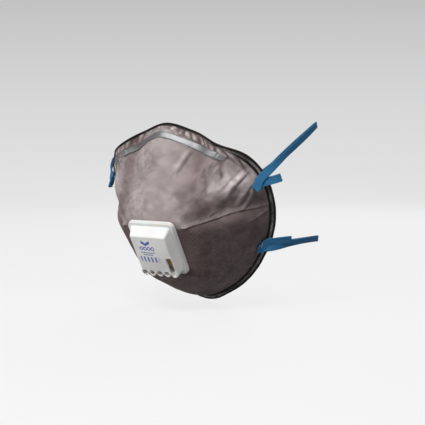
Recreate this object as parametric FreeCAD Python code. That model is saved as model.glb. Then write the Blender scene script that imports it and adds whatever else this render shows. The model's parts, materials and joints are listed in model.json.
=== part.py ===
import FreeCAD, Part
import math
import os

# Respirator mask, millimetres. Cup frame: x right, y up the rim plane, z forward out of the cup.
V3 = FreeCAD.Vector
os.makedirs("parts", exist_ok=True)

leanDeg = 22.5
worn = FreeCAD.Placement(V3(0, 0, 0), FreeCAD.Rotation(V3(1, 0, 0), 90 + leanDeg))

portUp = -4.3
landOut = 42.5
landTilt = 7.5
landHalfX = 19.5
landHalfY = 20.5
portHalfX = 14.0
portHalfY = 14.5
cornerPower = 5.0
flangeWidth = 5.0
flangeReach = 8.2
flangeTop = 0.5
flangeBottom = -0.9
webGap = 0.1
lipRise = flangeTop + webGap
rimSweep = 9.0
browLift = 8.7
browX = 45.0
browSpread = 15.0
browFade = (15.0, 45.0)
edgeRound = 0.8
edgeThin = 0.2
halfWidth = 75.0
ridgeDeg = 10.0
ridgeLandDeg = 33.0
ridgeLift = 1.6
ridgeSpreadDeg = 7.0
meridians = 72

# angle, rim radius, front run, wall run, wall rise
profile = [
    (-90, 71.7, 24, 9, 20),
    (-70, 67.4, 23, 9, 20),
    (-50, 65.1, 22, 9, 20),
    (-30, 65.2, 20, 10, 20),
    (-10, 69.2, 20, 9, 18),
    (10, 74.9, 21, 8, 18),
    (26, 79.4, 20, 11, 14),
    (42, 81.4, 17, 12, 8),
    (58, 79.0, 13, 11, 6),
    (74, 77.5, 10, 6, 14),
    (90, 80.3, 10, 5, 16),
]

landNormal = V3(0, -math.sin(math.radians(landTilt)), math.cos(math.radians(landTilt)))

webThickness = [
    ("outer_cover", 0.45),
    ("carbon_layer", 0.6),
    ("filter_layer", 0.5),
    ("support_shell", 0.9),
]


def webDepths():
    """Outer and inner depth of each web below the cup's outside face."""
    depth = 0.0
    found = []
    for name, thick in webThickness:
        found.append((name, depth, depth + thick))
        depth = depth + thick + webGap
    return found, depth


def slopeAt(column, i):
    if i == 0 or i == len(profile) - 1:
        return 0.0
    rise = profile[i + 1][column] - profile[i - 1][column]
    return rise / (profile[i + 1][0] - profile[i - 1][0])


def keyed(angle, column):
    for i in range(len(profile) - 1):
        a, b = profile[i], profile[i + 1]
        if angle <= b[0] or i == len(profile) - 2:
            span = b[0] - a[0]
            t = (angle - a[0]) / span
            start = (2 * t**3 - 3 * t * t + 1) * a[column]
            end = (3 * t * t - 2 * t**3) * b[column]
            leave = (t**3 - 2 * t * t + t) * span * slopeAt(column, i)
            arrive = (t**3 - t * t) * span * slopeAt(column, i + 1)
            return start + end + leave + arrive


def halfAngle(theta):
    """Side of the mask and the angle folded onto its right half."""
    c = math.cos(math.radians(theta))
    s = math.sin(math.radians(theta))
    side = 1 if c >= 0 else -1
    return side, math.degrees(math.asin(max(-1.0, min(1.0, s))))


def landPoint(side, angle, halfX, halfY):
    c = math.cos(math.radians(angle))
    s = math.sin(math.radians(angle))
    k = (abs(c / halfX)**cornerPower + abs(s / halfY)**cornerPower)**(-1 / cornerPower)
    out = landOut + math.tan(math.radians(landTilt)) * k * s
    return V3(side * k * c, portUp + k * s, out)


def landAngle(angle):
    """The ridge starts higher on the land than a straight ray from the port would."""
    if angle >= ridgeDeg:
        w = (90 - angle) / (90 - ridgeDeg)
    else:
        w = (angle + 90) / (90 + ridgeDeg)
    return angle + (ridgeLandDeg - ridgeDeg) * w * w * (3 - 2 * w)


def rimPoint(theta, inset, lift):
    side, angle = halfAngle(theta)
    radius = keyed(angle, 1) - inset
    x = radius * math.cos(math.radians(angle))
    up = portUp + radius * math.sin(math.radians(angle))
    fade = min(1.0, max(0.0, (up - browFade[0]) / (browFade[1] - browFade[0])))
    brow = browLift * math.exp(-((x - browX) / browSpread)**2) * fade
    return V3(side * x, up, brow - rimSweep * (x / halfWidth)**2 + lift)


def meridian(theta, inward):
    """Four poles from the land to the rim, moved inward by a web's depth."""
    side, angle = halfAngle(theta)
    start = landPoint(side, landAngle(angle), landHalfX, landHalfY)
    end = rimPoint(theta, flangeWidth, lipRise)
    flat = V3(end.x - start.x, end.y - start.y, 0).normalize()
    tilt = math.tan(math.radians(landTilt))
    run, wallRun, wallRise = keyed(angle, 2), keyed(angle, 3), keyed(angle, 4)
    second = start + run * V3(flat.x, flat.y, tilt * flat.y)
    third = end + V3(-wallRun * flat.x, -wallRun * flat.y, wallRise)
    along = (third - second).normalize()
    across = V3(-flat.y, flat.x, 0)
    normal = across.cross(along).normalize()
    if normal.z < 0:
        normal = normal * -1
    crest = ridgeLift * math.exp(-((angle - ridgeDeg) / ridgeSpreadDeg)**2)
    third = third + crest * normal
    second = second + crest * flat
    start = start - inward * landNormal
    second = second - inward * (landNormal + 0.35 * flat)
    third = third - inward * normal
    return [start, second, third, rimPoint(theta, flangeWidth + inward, lipRise)]


def bezier(poles, t):
    weights = ((1 - t)**3, 3 * t * (1 - t)**2, 3 * t * t * (1 - t), t**3)
    total = V3(0, 0, 0)
    for w, p in zip(weights, poles):
        total = total + w * p
    return total


def ringFace(rings, degree):
    """Closed face through rings of poles, smooth around and of the given degree across."""
    count = len(rings[0])
    poles = [[ring[i] for ring in rings] for i in range(count)]
    surface = Part.BSplineSurface()
    surface.buildFromPolesMultsKnots(
        poles, [1] * (count + 1), [degree + 1] * 2,
        [float(i) for i in range(count + 1)], [0.0, 1.0], True, False, 3, degree)
    return surface.toShape()


def closedSolid(faces):
    shell = Part.makeShell(faces)
    shell.sewShape()
    solid = Part.makeSolid(shell)
    solid.fix(0.001, 0.001, 0.001)
    if solid.Volume < 0:
        solid.reverse()
    return solid


def angles():
    return [360.0 * i / meridians for i in range(meridians)]


def webSide(inward):
    rows = [meridian(theta, inward) for theta in angles()]
    port = []
    for theta in angles():
        side, angle = halfAngle(theta)
        port.append(landPoint(side, landAngle(angle), portHalfX, portHalfY) - inward * landNormal)
    wall = [[row[k] for row in rows] for k in range(4)]
    return port, wall


def web(outerDepth, innerDepth):
    outPort, outWall = webSide(outerDepth)
    inPort, inWall = webSide(innerDepth)
    return closedSolid([
        ringFace([outPort, outWall[0]], 1),
        ringFace(outWall, 3),
        ringFace([outWall[3], inWall[3]], 1),
        ringFace(inWall, 3),
        ringFace([inPort, inWall[0]], 1),
        ringFace([outPort, inPort], 1),
    ])


def rimFlange():
    outerTop = [rimPoint(t, 0, flangeTop - edgeThin) for t in angles()]
    outerBottom = [rimPoint(t, 0, flangeBottom + edgeThin) for t in angles()]
    innerTop = [rimPoint(t, flangeReach, flangeTop) for t in angles()]
    innerBottom = [rimPoint(t, flangeReach, flangeBottom) for t in angles()]
    midTop = [rimPoint(t, edgeRound, flangeTop) for t in angles()]
    midBottom = [rimPoint(t, edgeRound, flangeBottom) for t in angles()]
    loops = [outerTop, midTop, innerTop, innerBottom, midBottom, outerBottom]
    faces = [ringFace([loops[i], loops[(i + 1) % 6]], 1) for i in range(6)]
    return closedSolid(faces)


def cupPoint(theta, t, lift):
    """Point over the cup's outside face, and the face's outward normal there."""
    poles = meridian(theta, 0)
    here = bezier(poles, t)
    step = bezier(poles, min(1.0, t + 0.02)) - bezier(poles, t - 0.02)
    around = bezier(meridian(theta + 1, 0), t) - bezier(meridian(theta - 1, 0), t)
    normal = step.cross(around).normalize()
    if normal.z < 0 and abs(normal.z) > 0.3:
        normal = normal * -1
    if normal.dot(here - V3(0, portUp, 0)) < 0:
        normal = normal * -1
    return here + lift * normal, normal, step.normalize(), around.normalize()


def section(centre, wide, thick, width, depth):
    a = wide * (width / 2)
    b = thick * (depth / 2)
    return [centre + a + b, centre - a + b, centre - a - b, centre + a - b]


def closed(corners):
    return Part.makePolygon(corners + corners[:1])


def slideTo(corners, tangent, x):
    """Corners moved along the band until they lie in the hinge plane."""
    return [c + tangent * ((x - c.x) / tangent.x) for c in corners]


def ribbon(points, wides, width, depth, taper=None, planes=(None, None)):
    """Flat band through points, each with its own width direction, its ends cut square or at x."""
    last = len(points) - 1
    wires = []
    for i, p in enumerate(points):
        tangent = (points[min(last, i + 1)] - points[max(0, i - 1)]).normalize()
        wide = (wides[i] - tangent * wides[i].dot(tangent)).normalize()
        thick = tangent.cross(wide).normalize()
        corners = section(p, wide, thick, width * (taper[i] if taper else 1.0), depth)
        if i == 0 and planes[0] is not None:
            corners = slideTo(corners, tangent, planes[0])
        if i == last and planes[1] is not None:
            corners = slideTo(corners, tangent, planes[1])
        wires.append(closed(corners))
    return Part.makeLoft(wires, True, False)


# nose clip and foam, laid along the cup: angle and share of the way from land to rim
clipWidth = 5.0
clipThick = 0.7
clipGap = 0.15
foamWidth = 11.0
foamThick = 4.6
foamGap = 0.3
foamAlong = 0.80
foamEndDeg = 50
clipPath = [
    (49.5, 0.915), (51, 0.912), (55, 0.908), (61, 0.903),
    (68, 0.895), (76, 0.885), (84, 0.875), (90, 0.872),
]
clipTaper = [0.45, 0.95, 1, 1, 1, 1, 1, 1]


def bothHalves(path):
    return path + [(180 - a, t) for a, t in reversed(path[:-1])]


def noseClip():
    points, wides = [], []
    for theta, t in bothHalves(clipPath):
        p, normal, down, around = cupPoint(theta, t, clipGap + clipThick / 2)
        points.append(p)
        wides.append(down)
    taper = clipTaper + list(reversed(clipTaper[:-1]))
    return ribbon(points, wides, clipWidth, clipThick, taper)


def noseFoam():
    points, wides = [], []
    depth = webDepths()[1] + foamGap + foamThick / 2
    for theta in range(foamEndDeg, 181 - foamEndDeg, 8):
        p, normal, down, around = cupPoint(theta, foamAlong, -depth)
        points.append(p)
        wides.append(down)
    return ribbon(points, wides, foamWidth, foamThick)


# exhalation valve, in the land's own frame: x right, y up the land, z out
valve = FreeCAD.Placement(V3(0, portUp, landOut), FreeCAD.Rotation(V3(1, 0, 0), landTilt))


seatHalfX = 20.3
seatLow = -22.8
seatHigh = 21.7
seatCorner = 4.0
seatGap = 0.1
seatTop = 2.0
collarClear = 0.4
collarWall = 2.0
collarCorner = 6.0
collarDepth = 0.9
lipWall = 3.4
lipTop = 3.0
spokeWidth = 2.0
spokeBottom = 0.5
pinRadius = 1.2
pinX = 8.0
pinUp = 13.4
pinTop = 4.8
flapGap = 0.08
flapThick = 0.5
flapHalfX = 14.2
flapLow = -15.0
flapHigh = 15.2
flapHole = 1.6
collarHalfX = portHalfX - collarClear
collarHalfY = portHalfY - collarClear
windowHalfX = collarHalfX - collarWall
windowHalfY = collarHalfY - collarWall

coverWall = 1.2
coverTop = 10.4
coverHalfX = 18.0
coverLow = -19.8
coverHigh = 19.6
frontHalfX = 15.9
frontLow = -19.0
frontHigh = 14.2
frontRound = 1.6
borderInset = 0.2
borderThick = 1.2
domeRadius = 14.3
domeRise = 1.2
domeCentre = (-1.2, -2.4)
louvreCount = 5
louvrePitch = 6.7
louvreHole = 2.1
louvreWall = 0.9
louvreUp = -18.4
louvreFoot = 4.6
louvreFloor = 5.6
sideSlot = (10.4, 15.1, -18.0, -4.2)
slotDeep = 3.0
domeRoot = 2.0


def slab(halfX, lowY, highY, lowZ, highZ, corner):
    box = Part.makeBox(2 * halfX, highY - lowY, highZ - lowZ, V3(-halfX, lowY, lowZ))
    upright = [e for e in box.Edges if abs(e.tangentAt(e.FirstParameter).z) > 0.9]
    return box.makeFillet(corner, upright)


def atPins(radius, low, high):
    height = high - low
    return [Part.makeCylinder(radius, height, V3(side * pinX, pinUp, low)) for side in (-1, 1)]


def valveSeat():
    bottom = -webDepths()[1] - collarDepth
    lipX = windowHalfX + lipWall
    lipY = windowHalfY + lipWall
    body = slab(seatHalfX, seatLow, seatHigh, seatGap, seatTop, seatCorner)
    body = body.fuse(slab(collarHalfX, -collarHalfY, collarHalfY, bottom, seatTop, collarCorner))
    body = body.fuse(slab(lipX, -lipY, lipY, seatGap, lipTop, collarCorner))
    corner = collarCorner - collarWall / 2
    body = body.cut(slab(windowHalfX, -windowHalfY, windowHalfY, bottom - 1, lipTop + 1, corner))
    high = seatTop - spokeBottom
    half = spokeWidth / 2
    long = windowHalfY + 0.5
    wide = windowHalfX + 0.5
    body = body.fuse(Part.makeBox(spokeWidth, 2 * long, high, V3(-half, -long, spokeBottom)))
    body = body.fuse(Part.makeBox(2 * wide, spokeWidth, high, V3(-wide, -half, spokeBottom)))
    return body.multiFuse(atPins(pinRadius, seatTop, pinTop)).removeSplitter()


def valveFlap():
    low = lipTop + flapGap
    sheet = slab(flapHalfX, flapLow, flapHigh, low, low + flapThick, 3.0)
    return sheet.cut(Part.makeCompound(atPins(flapHole, low - 1, low + 2)))


def frustum(foot, front, low, high):
    wires = []
    for (half, bottom, top), z in ((foot, low), (front, high)):
        ring = [V3(half, top, z), V3(-half, top, z), V3(-half, bottom, z), V3(half, bottom, z)]
        wires.append(Part.makePolygon(ring + ring[:1]))
    return Part.makeLoft(wires, True, True)


def louvres(radius, low, high):
    found = []
    for i in range(louvreCount):
        x = (i - (louvreCount - 1) / 2) * louvrePitch
        found.append(Part.makeCylinder(radius, high - low, V3(x, louvreUp, low)))
    return found


def frontDome():
    ball = (domeRadius**2 + domeRise**2) / (2 * domeRise)
    cap = Part.makeSphere(ball, V3(domeCentre[0], domeCentre[1], coverTop + domeRise - ball))
    return cap.common(Part.makeCylinder(domeRadius, 2 * domeRoot, V3(domeCentre[0], domeCentre[1], coverTop - domeRoot)))


def valveCover():
    base = seatTop + seatGap
    foot = (coverHalfX, coverLow, coverHigh)
    front = (frontHalfX, frontLow, frontHigh)
    innerFoot = (coverHalfX - coverWall, coverLow + coverWall, coverHigh - coverWall)
    innerFront = (frontHalfX - coverWall, frontLow + coverWall, frontHigh - coverWall / 2)
    body = frustum(foot, front, base, coverTop)
    body = body.makeFillet(frontRound, [e for e in body.Edges if e.CenterOfMass.z > base + 1])
    body = body.fuse(frontDome())
    body = body.multiFuse(louvres(louvreHole + louvreWall, louvreFoot, coverTop))
    body = body.cut(frustum(innerFoot, innerFront, base - 0.1, coverTop - coverWall))
    body = body.cut(Part.makeCompound(louvres(louvreHole, louvreFloor, coverTop + 1)))
    x0, x1, y0, y1 = sideSlot
    slot = Part.makeBox(x1 - x0, y1 - y0, 2 * slotDeep, V3(x0, y0, coverTop - slotDeep))
    body = body.cut(slot)
    edge = seatHalfX - borderInset
    border = slab(edge, seatLow + borderInset, seatHigh - borderInset, base, base + borderThick, seatCorner)
    hollow = Part.makeBox(
        2 * innerFoot[0], innerFoot[2] - innerFoot[1], base + 2 * borderThick, V3(-innerFoot[0], innerFoot[1], 0))
    return body.fuse(border.cut(hollow)).removeSplitter()


# straps: points in the worn frame, right-hand side
bandWidth = 6.0
bandThick = 0.9
upperWide = V3(-0.586, -0.348, 0.729)
upperTailWide = V3(-0.292, -0.124, 0.948)
lowerWide = V3(-0.187, -0.047, 0.978)
lowerTailWide = V3(-0.163, -0.030, 0.987)
upperExitLeft = V3(-0.25, -0.50, 0.83)
turnX = 60.0
turnY = 32.0
upperFold = (24.6, 0.90)
lowerFold = (-19.5, 0.955)
# where each band is cut: how far it stands outside the rim at its fold
upperOutset = 5.48165
upperOutsetLeft = 1.58165
lowerOutset = 8.88286
upperCut = rimPoint(upperFold[0], 0, 0).x + upperOutset
upperCutLeft = rimPoint(upperFold[0], 0, 0).x + upperOutsetLeft
lowerCut = rimPoint(lowerFold[0], 0, 0).x + lowerOutset
foldLength = 1.1
hingeGap = 0.3
lowLayer = 0.9
highLayer = 2.65
lowerLift = 0.9
upperHinge = V3(upperCut, -3.0, 39.2)
upperHingeLeft = V3(upperCutLeft, -3.0, 39.2)
lowerHinge = V3(lowerCut, 18.6, -20.8)


def fromHinge(hinge, offsets):
    return [hinge + V3(*offset) for offset in offsets]


upperStub = fromHinge(upperHinge, [(-9, -5.6, -10.5), (-4.6, -3.3, -5.5), (0, 0, 0)])
upperStubLeft = fromHinge(upperHingeLeft, [(-5.6, -6.4, -10.5), (-2.3, -4.8, -5.5), (0, 0, 0)])
upperTail = fromHinge(upperHinge, [(-8.4, -3.7, -13.2), (-3.9, -1.6, -11.5), (-0.1, 1.9, -10.1), (2.2, 5.5, -8.9)])
upperBand = fromHinge(upperHinge, [
    (0, 0, 0), (3.4, 4.1, 4.8), (7.2, 12, 11.8), (9.5, 20.1, 17.4), (11, 29.6, 23),
    (10.8, 39.7, 27.4), (8.3, 49.1, 29.7), (2.4, 58.4, 29.1), (-6.8, 65, 24.1), (-18, 70, 17),
    (-33.9, 76.3, 6.6), (-51.2, 84.1, -4.3), (-68.7, 89.6, -11.4),
])
upperBandLeft = fromHinge(upperHingeLeft, [
    (0, 0, 0), (1.8, 4.5, 2.3), (3.5, 11, 1.8), (4, 19, -1.2), (2.5, 30, -5.2), (-2.5, 43, -8.7),
    (-11.5, 56, -11.2), (-24.5, 69, -12.2), (-40.5, 80, -12.4), (-59.5, 88.3, -12.2),
])
lowerStub = fromHinge(lowerHinge, [(-8.4, -6.3, -1.8), (-4.4, -3.9, -1.1), (0, 0, 0)])
lowerTail = fromHinge(lowerHinge, [(-7.7, -7.7, 2.4), (-3.3, -5, 3.1), (1.4, -1.3, 3.8), (5.8, 3.5, 4.3)])
lowerBand = fromHinge(lowerHinge, [
    (0, 0, 0), (2.9, 3.8, 1), (5.4, 8.7, 1.6), (8, 16.6, 2.2), (9.7, 26.5, 2.5), (9.7, 36.8, 2.3),
    (6.8, 45.8, 1.6), (1, 52.6, 0.4), (-10.4, 57.9, -1.9), (-25, 63.3, -4.9), (-42.5, 67.9, -8.1),
    (-61.9, 71.3, -9.7),
])


def mirrored(shape):
    return shape.mirror(V3(0, 0, 0), V3(1, 0, 0))


def flipX(p):
    return V3(-p.x, p.y, p.z)


def staple(centre, normal, wide):
    """Crown across the band, two legs through the webs, ends bent under."""
    long = normal.cross(wide).normalize()
    parts = []
    half = 4.0
    wire = 0.6
    deep = 5.4
    crown = closed(section(centre, wide, long, 2 * half + wire, wire))
    parts.append(Part.Face(crown).extrude(normal * wire))
    for sign in (-1, 1):
        foot = closed(section(centre + wide * half * sign, wide, long, wire, wire))
        parts.append(Part.Face(foot).extrude(normal * -deep))
        under = centre + wide * (half - 1.2) * sign - normal * deep
        clinch = closed(section(under, wide, long, 3.0, wire))
        parts.append(Part.Face(clinch).extrude(normal * wire))
    return parts[0].multiFuse(parts[1:])


def onWorn(theta, t, lift):
    p, normal, down, around = cupPoint(theta, t, lift)
    turn = worn.Rotation
    return worn.multVec(p), turn.multVec(normal)


def mix(a, b, k):
    k = min(1.0, max(0.0, k))
    k = k * k * (3 - 2 * k)
    return (a * (1 - k) + b * k).normalize()


def headband(right, left, wideRight, wideLeft, planes):
    """The loop from the right-hand hinge plane to the left-hand one; left is given mirrored."""
    upright = V3(0, 0, 1)
    points = list(right)
    wides = [mix(upright, wideRight, p.x / turnX) for p in right]
    for p in reversed(left):
        points.append(flipX(p))
        wides.append(mix(flipX(wideLeft), upright, (p.y - left[0].y) / turnY))
    ends = (planes[0] + hingeGap / 2, -planes[1] - hingeGap / 2)
    return ribbon(points, wides, bandWidth, bandThick, None, ends)


def strapEnd(fold, layers, stub, tail, wides, cut):
    """The stapled end: the band comes in on one layer, folds and leaves as the free tail."""
    stubStart, normal = onWorn(fold[0], fold[1], layers[0])
    tailStart, normal = onWorn(fold[0], fold[1], layers[1])
    stubWides = [mix(wides[0], wides[2], i / len(stub)) for i in range(len(stub) + 1)]
    tailWides = [wides[1]] * (len(tail) + 1)
    ends = (None, cut - hingeGap / 2)
    incoming = ribbon([stubStart] + stub, stubWides, bandWidth, bandThick, None, ends)
    outgoing = ribbon([tailStart] + tail, tailWides, bandWidth, bandThick)
    toward = ((stub[0] - stubStart).normalize() + (tail[0] - tailStart).normalize()).normalize()
    across = normal.cross(toward).normalize()
    low = stubStart if layers[0] < layers[1] else tailStart
    base = low - normal * (bandThick / 2) + toward * 0.1
    face = Part.Face(closed(section(base, across, toward, bandWidth, foldLength)))
    block = face.extrude(normal * (abs(layers[0] - layers[1]) + bandThick))
    return incoming.multiFuse([outgoing, block])


def save(name, shape):
    if shape.ShapeType == "Compound" and len(shape.Solids) == 1:
        shape = shape.Solids[0]
    box = shape.BoundBox
    print(name, shape.ShapeType, len(shape.Solids), shape.isValid(), round(shape.Volume, 1),
          [round(v, 1) for v in (box.XMin, box.XMax, box.YMin, box.YMax, box.ZMin, box.ZMax)])
    shape.exportStep("parts/" + name + ".step")


def inCup(shape):
    moved = shape.copy()
    moved.Placement = worn.multiply(moved.Placement)
    return moved


def onLand(shape):
    moved = shape.copy()
    moved.Placement = worn.multiply(valve).multiply(moved.Placement)
    return moved


def makeCup():
    for name, outer, inner in webDepths()[0]:
        save(name, inCup(web(outer, inner)))
    save("rim_flange", inCup(rimFlange()))
    save("nose_clip", inCup(noseClip()))
    save("nose_foam", inCup(noseFoam()))


def makeValve():
    save("valve_seat", onLand(valveSeat()))
    save("valve_flap", onLand(valveFlap()))
    save("valve_cover", onLand(valveCover()))


def stapleAt(theta, t, layer, wide):
    foot, normal = onWorn(theta, t, layer + bandThick / 2 + 0.05)
    flatWide = (wide - normal * wide.dot(normal)).normalize()
    return staple(foot, normal, flatWide)


def makeStraps():
    lowerLayers = (lowLayer + lowerLift, highLayer + lowerLift)
    upperLayers = (highLayer, lowLayer)
    rightWides = (upperWide, upperTailWide, upperWide)
    leftWides = (upperWide, upperTailWide, upperExitLeft)
    lowerWides = (lowerWide, lowerTailWide, lowerWide)
    upper = strapEnd(upperFold, upperLayers, upperStub, upperTail, rightWides, upperCut)
    upperLeft = strapEnd(upperFold, upperLayers, upperStubLeft, upperTail, leftWides, upperCutLeft)
    lower = strapEnd(lowerFold, lowerLayers, lowerStub, lowerTail, lowerWides, lowerCut)
    upperStaple = stapleAt(25.4, 0.93, lowLayer, upperWide)
    lowerStaple = stapleAt(-19.2, 0.94, lowLayer + lowerLift, lowerWide)
    save("tail_upper_right", upper)
    save("tail_upper_left", mirrored(upperLeft))
    save("tail_lower_right", lower)
    save("tail_lower_left", mirrored(lower))
    save("staple_upper_right", upperStaple)
    save("staple_upper_left", mirrored(upperStaple))
    save("staple_lower_right", lowerStaple)
    save("staple_lower_left", mirrored(lowerStaple))
    save("headband_upper", headband(
        upperBand, upperBandLeft, upperWide, upperExitLeft, (upperCut, upperCutLeft)))
    save("headband_lower", headband(lowerBand, lowerBand, lowerWide, lowerWide, (lowerCut, lowerCut)))


makeCup()
makeValve()
makeStraps()
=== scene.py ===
import json
import math

import bmesh
import bpy
import numpy as np
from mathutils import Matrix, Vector, noise

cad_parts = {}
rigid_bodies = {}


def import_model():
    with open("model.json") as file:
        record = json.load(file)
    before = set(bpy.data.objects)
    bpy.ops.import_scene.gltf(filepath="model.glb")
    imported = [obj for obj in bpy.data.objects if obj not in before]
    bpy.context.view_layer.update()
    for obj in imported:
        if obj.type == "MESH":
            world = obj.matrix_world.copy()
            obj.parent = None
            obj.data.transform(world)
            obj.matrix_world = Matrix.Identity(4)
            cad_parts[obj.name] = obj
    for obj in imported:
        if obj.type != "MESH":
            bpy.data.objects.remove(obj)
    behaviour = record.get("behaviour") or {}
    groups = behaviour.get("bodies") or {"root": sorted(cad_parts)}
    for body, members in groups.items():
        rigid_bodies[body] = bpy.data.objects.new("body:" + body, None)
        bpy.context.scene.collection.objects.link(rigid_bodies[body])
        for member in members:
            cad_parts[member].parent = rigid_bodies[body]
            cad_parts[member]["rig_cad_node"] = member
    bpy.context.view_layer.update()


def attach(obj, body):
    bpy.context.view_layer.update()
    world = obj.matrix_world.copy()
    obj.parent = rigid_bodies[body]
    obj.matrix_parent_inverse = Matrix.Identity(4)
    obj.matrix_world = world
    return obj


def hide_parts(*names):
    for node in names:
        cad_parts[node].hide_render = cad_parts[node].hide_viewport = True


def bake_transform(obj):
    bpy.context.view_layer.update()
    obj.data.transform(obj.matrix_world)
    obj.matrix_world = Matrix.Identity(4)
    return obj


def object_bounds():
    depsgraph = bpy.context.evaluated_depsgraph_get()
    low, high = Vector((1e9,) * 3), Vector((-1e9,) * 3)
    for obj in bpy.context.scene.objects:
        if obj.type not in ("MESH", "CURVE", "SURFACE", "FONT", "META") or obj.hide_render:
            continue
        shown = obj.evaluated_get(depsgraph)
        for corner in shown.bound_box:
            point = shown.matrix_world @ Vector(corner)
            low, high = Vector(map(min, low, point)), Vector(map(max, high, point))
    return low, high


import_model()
mm = 0.001
scene = bpy.context.scene
scene.view_settings.view_transform = "Standard"
print("mask: frame loaded")

# camera
camera = {
    "azimuth": 35.0,
    "elevation": 4.0,
    "distance": 0.65,
    "target": (0.0, -0.0047, 0.0046),
    "lens": 71.58,
    "shift": (0.0647, -0.0082),
}


def placeCamera():
    az = math.radians(camera["azimuth"])
    el = math.radians(camera["elevation"])
    toward = Vector((math.sin(az) * math.cos(el), -math.cos(az) * math.cos(el), math.sin(el)))
    data = bpy.data.cameras.new("camera")
    data.lens = camera["lens"]
    data.sensor_width = 36.0
    data.shift_x, data.shift_y = camera["shift"]
    data.clip_start = 0.02
    obj = bpy.data.objects.new("camera", data)
    obj.location = Vector(camera["target"]) + camera["distance"] * toward
    obj.rotation_euler = (-toward).to_track_quat("-Z", "Y").to_euler()
    scene.collection.objects.link(obj)
    scene.camera = obj


placeCamera()


# mesh and node helpers
def makeMesh(name, points, faces, smooth=True):
    data = bpy.data.meshes.new(name)
    data.from_pydata([tuple(p) for p in points], [], faces)
    data.validate()
    data.polygons.foreach_set("use_smooth", [smooth] * len(data.polygons))
    obj = bpy.data.objects.new(name, data)
    scene.collection.objects.link(obj)
    return obj


# quads of a grid kept row by row, closed along each row when wrap is set
def gridFaces(rows, columns, wrap=True):
    faces = []
    last = columns if wrap else columns - 1
    for i in range(rows - 1):
        for j in range(last):
            k = (j + 1) % columns
            faces.append([i * columns + j, i * columns + k, (i + 1) * columns + k, (i + 1) * columns + j])
    return faces


# turns all faces outward
def outward(obj):
    work = bmesh.new()
    work.from_mesh(obj.data)
    bmesh.ops.recalc_face_normals(work, faces=work.faces)
    work.to_mesh(obj.data)
    work.free()


def putNode(tree, kind, at=(0, 0), **settings):
    node = tree.nodes.new(kind)
    node.location = at
    for key, value in settings.items():
        setattr(node, key, value)
    return node


# a link when the source is a socket, a value otherwise
def feed(tree, source, target):
    if hasattr(source, "links"):
        tree.links.new(source, target)
    else:
        target.default_value = source


def math2(tree, operation, a, b=None, clamp=False):
    node = putNode(tree, "ShaderNodeMath", operation=operation, use_clamp=clamp)
    feed(tree, a, node.inputs[0])
    if b is not None:
        feed(tree, b, node.inputs[1])
    return node.outputs[0]


def blendColor(tree, factor, a, b, kind="MIX"):
    node = putNode(tree, "ShaderNodeMix", data_type="RGBA", blend_type=kind)
    feed(tree, factor, node.inputs[0])
    feed(tree, a, node.inputs[6])
    feed(tree, b, node.inputs[7])
    return node.outputs[2]


def remap(tree, value, low, high, toLow=0.0, toHigh=1.0, smooth=False):
    node = putNode(tree, "ShaderNodeMapRange")
    if smooth:
        node.interpolation_type = "SMOOTHSTEP"
    for key, number in (("From Min", low), ("From Max", high), ("To Min", toLow), ("To Max", toHigh)):
        feed(tree, number, node.inputs[key])
    feed(tree, value, node.inputs["Value"])
    return node.outputs["Result"]


def noiseAt(tree, vector, scale, detail=2.0, roughness=0.5, distortion=0.0):
    node = putNode(tree, "ShaderNodeTexNoise")
    feed(tree, vector, node.inputs["Vector"])
    node.inputs["Detail"].default_value = detail
    node.inputs["Roughness"].default_value = roughness
    node.inputs["Distortion"].default_value = distortion
    feed(tree, scale, node.inputs["Scale"])
    return node.outputs["Fac"]


def turned(tree, vector, angle=0.0, scale=(1, 1, 1), shift=(0, 0, 0)):
    node = putNode(tree, "ShaderNodeMapping")
    feed(tree, vector, node.inputs["Vector"])
    node.inputs["Rotation"].default_value = (0, 0, math.radians(angle))
    node.inputs["Scale"].default_value = scale
    node.inputs["Location"].default_value = shift
    return node.outputs["Vector"]


# an empty node group with the named sockets
def startGroup(name, inputs, outputs):
    tree = bpy.data.node_groups.new(name, "ShaderNodeTree")
    for label, kind, value in inputs:
        socket = tree.interface.new_socket(name=label, in_out="INPUT", socket_type=kind)
        if value is not None:
            socket.default_value = value
    for label, kind in outputs:
        tree.interface.new_socket(name=label, in_out="OUTPUT", socket_type=kind)
    return tree, putNode(tree, "NodeGroupInput", (-900, 0)), putNode(tree, "NodeGroupOutput", (900, 0))


def useGroup(tree, group, **values):
    node = putNode(tree, "ShaderNodeGroup", node_tree=group)
    for key, value in values.items():
        feed(tree, value, node.inputs[key])
    return node.outputs


def startMaterial(name):
    material = bpy.data.materials.new(name)
    material.use_nodes = True
    tree = material.node_tree
    shader = tree.nodes["Principled BSDF"]
    return material, tree, shader


def setShader(shader, **values):
    for key, value in values.items():
        shader.inputs[key.replace("_", " ")].default_value = value


def addBump(tree, shader, height, strength, distance):
    node = putNode(tree, "ShaderNodeBump", (-200, -300))
    node.inputs["Strength"].default_value = strength
    node.inputs["Distance"].default_value = distance
    feed(tree, height, node.inputs["Height"])
    tree.links.new(node.outputs["Normal"], shader.inputs["Normal"])


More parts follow.
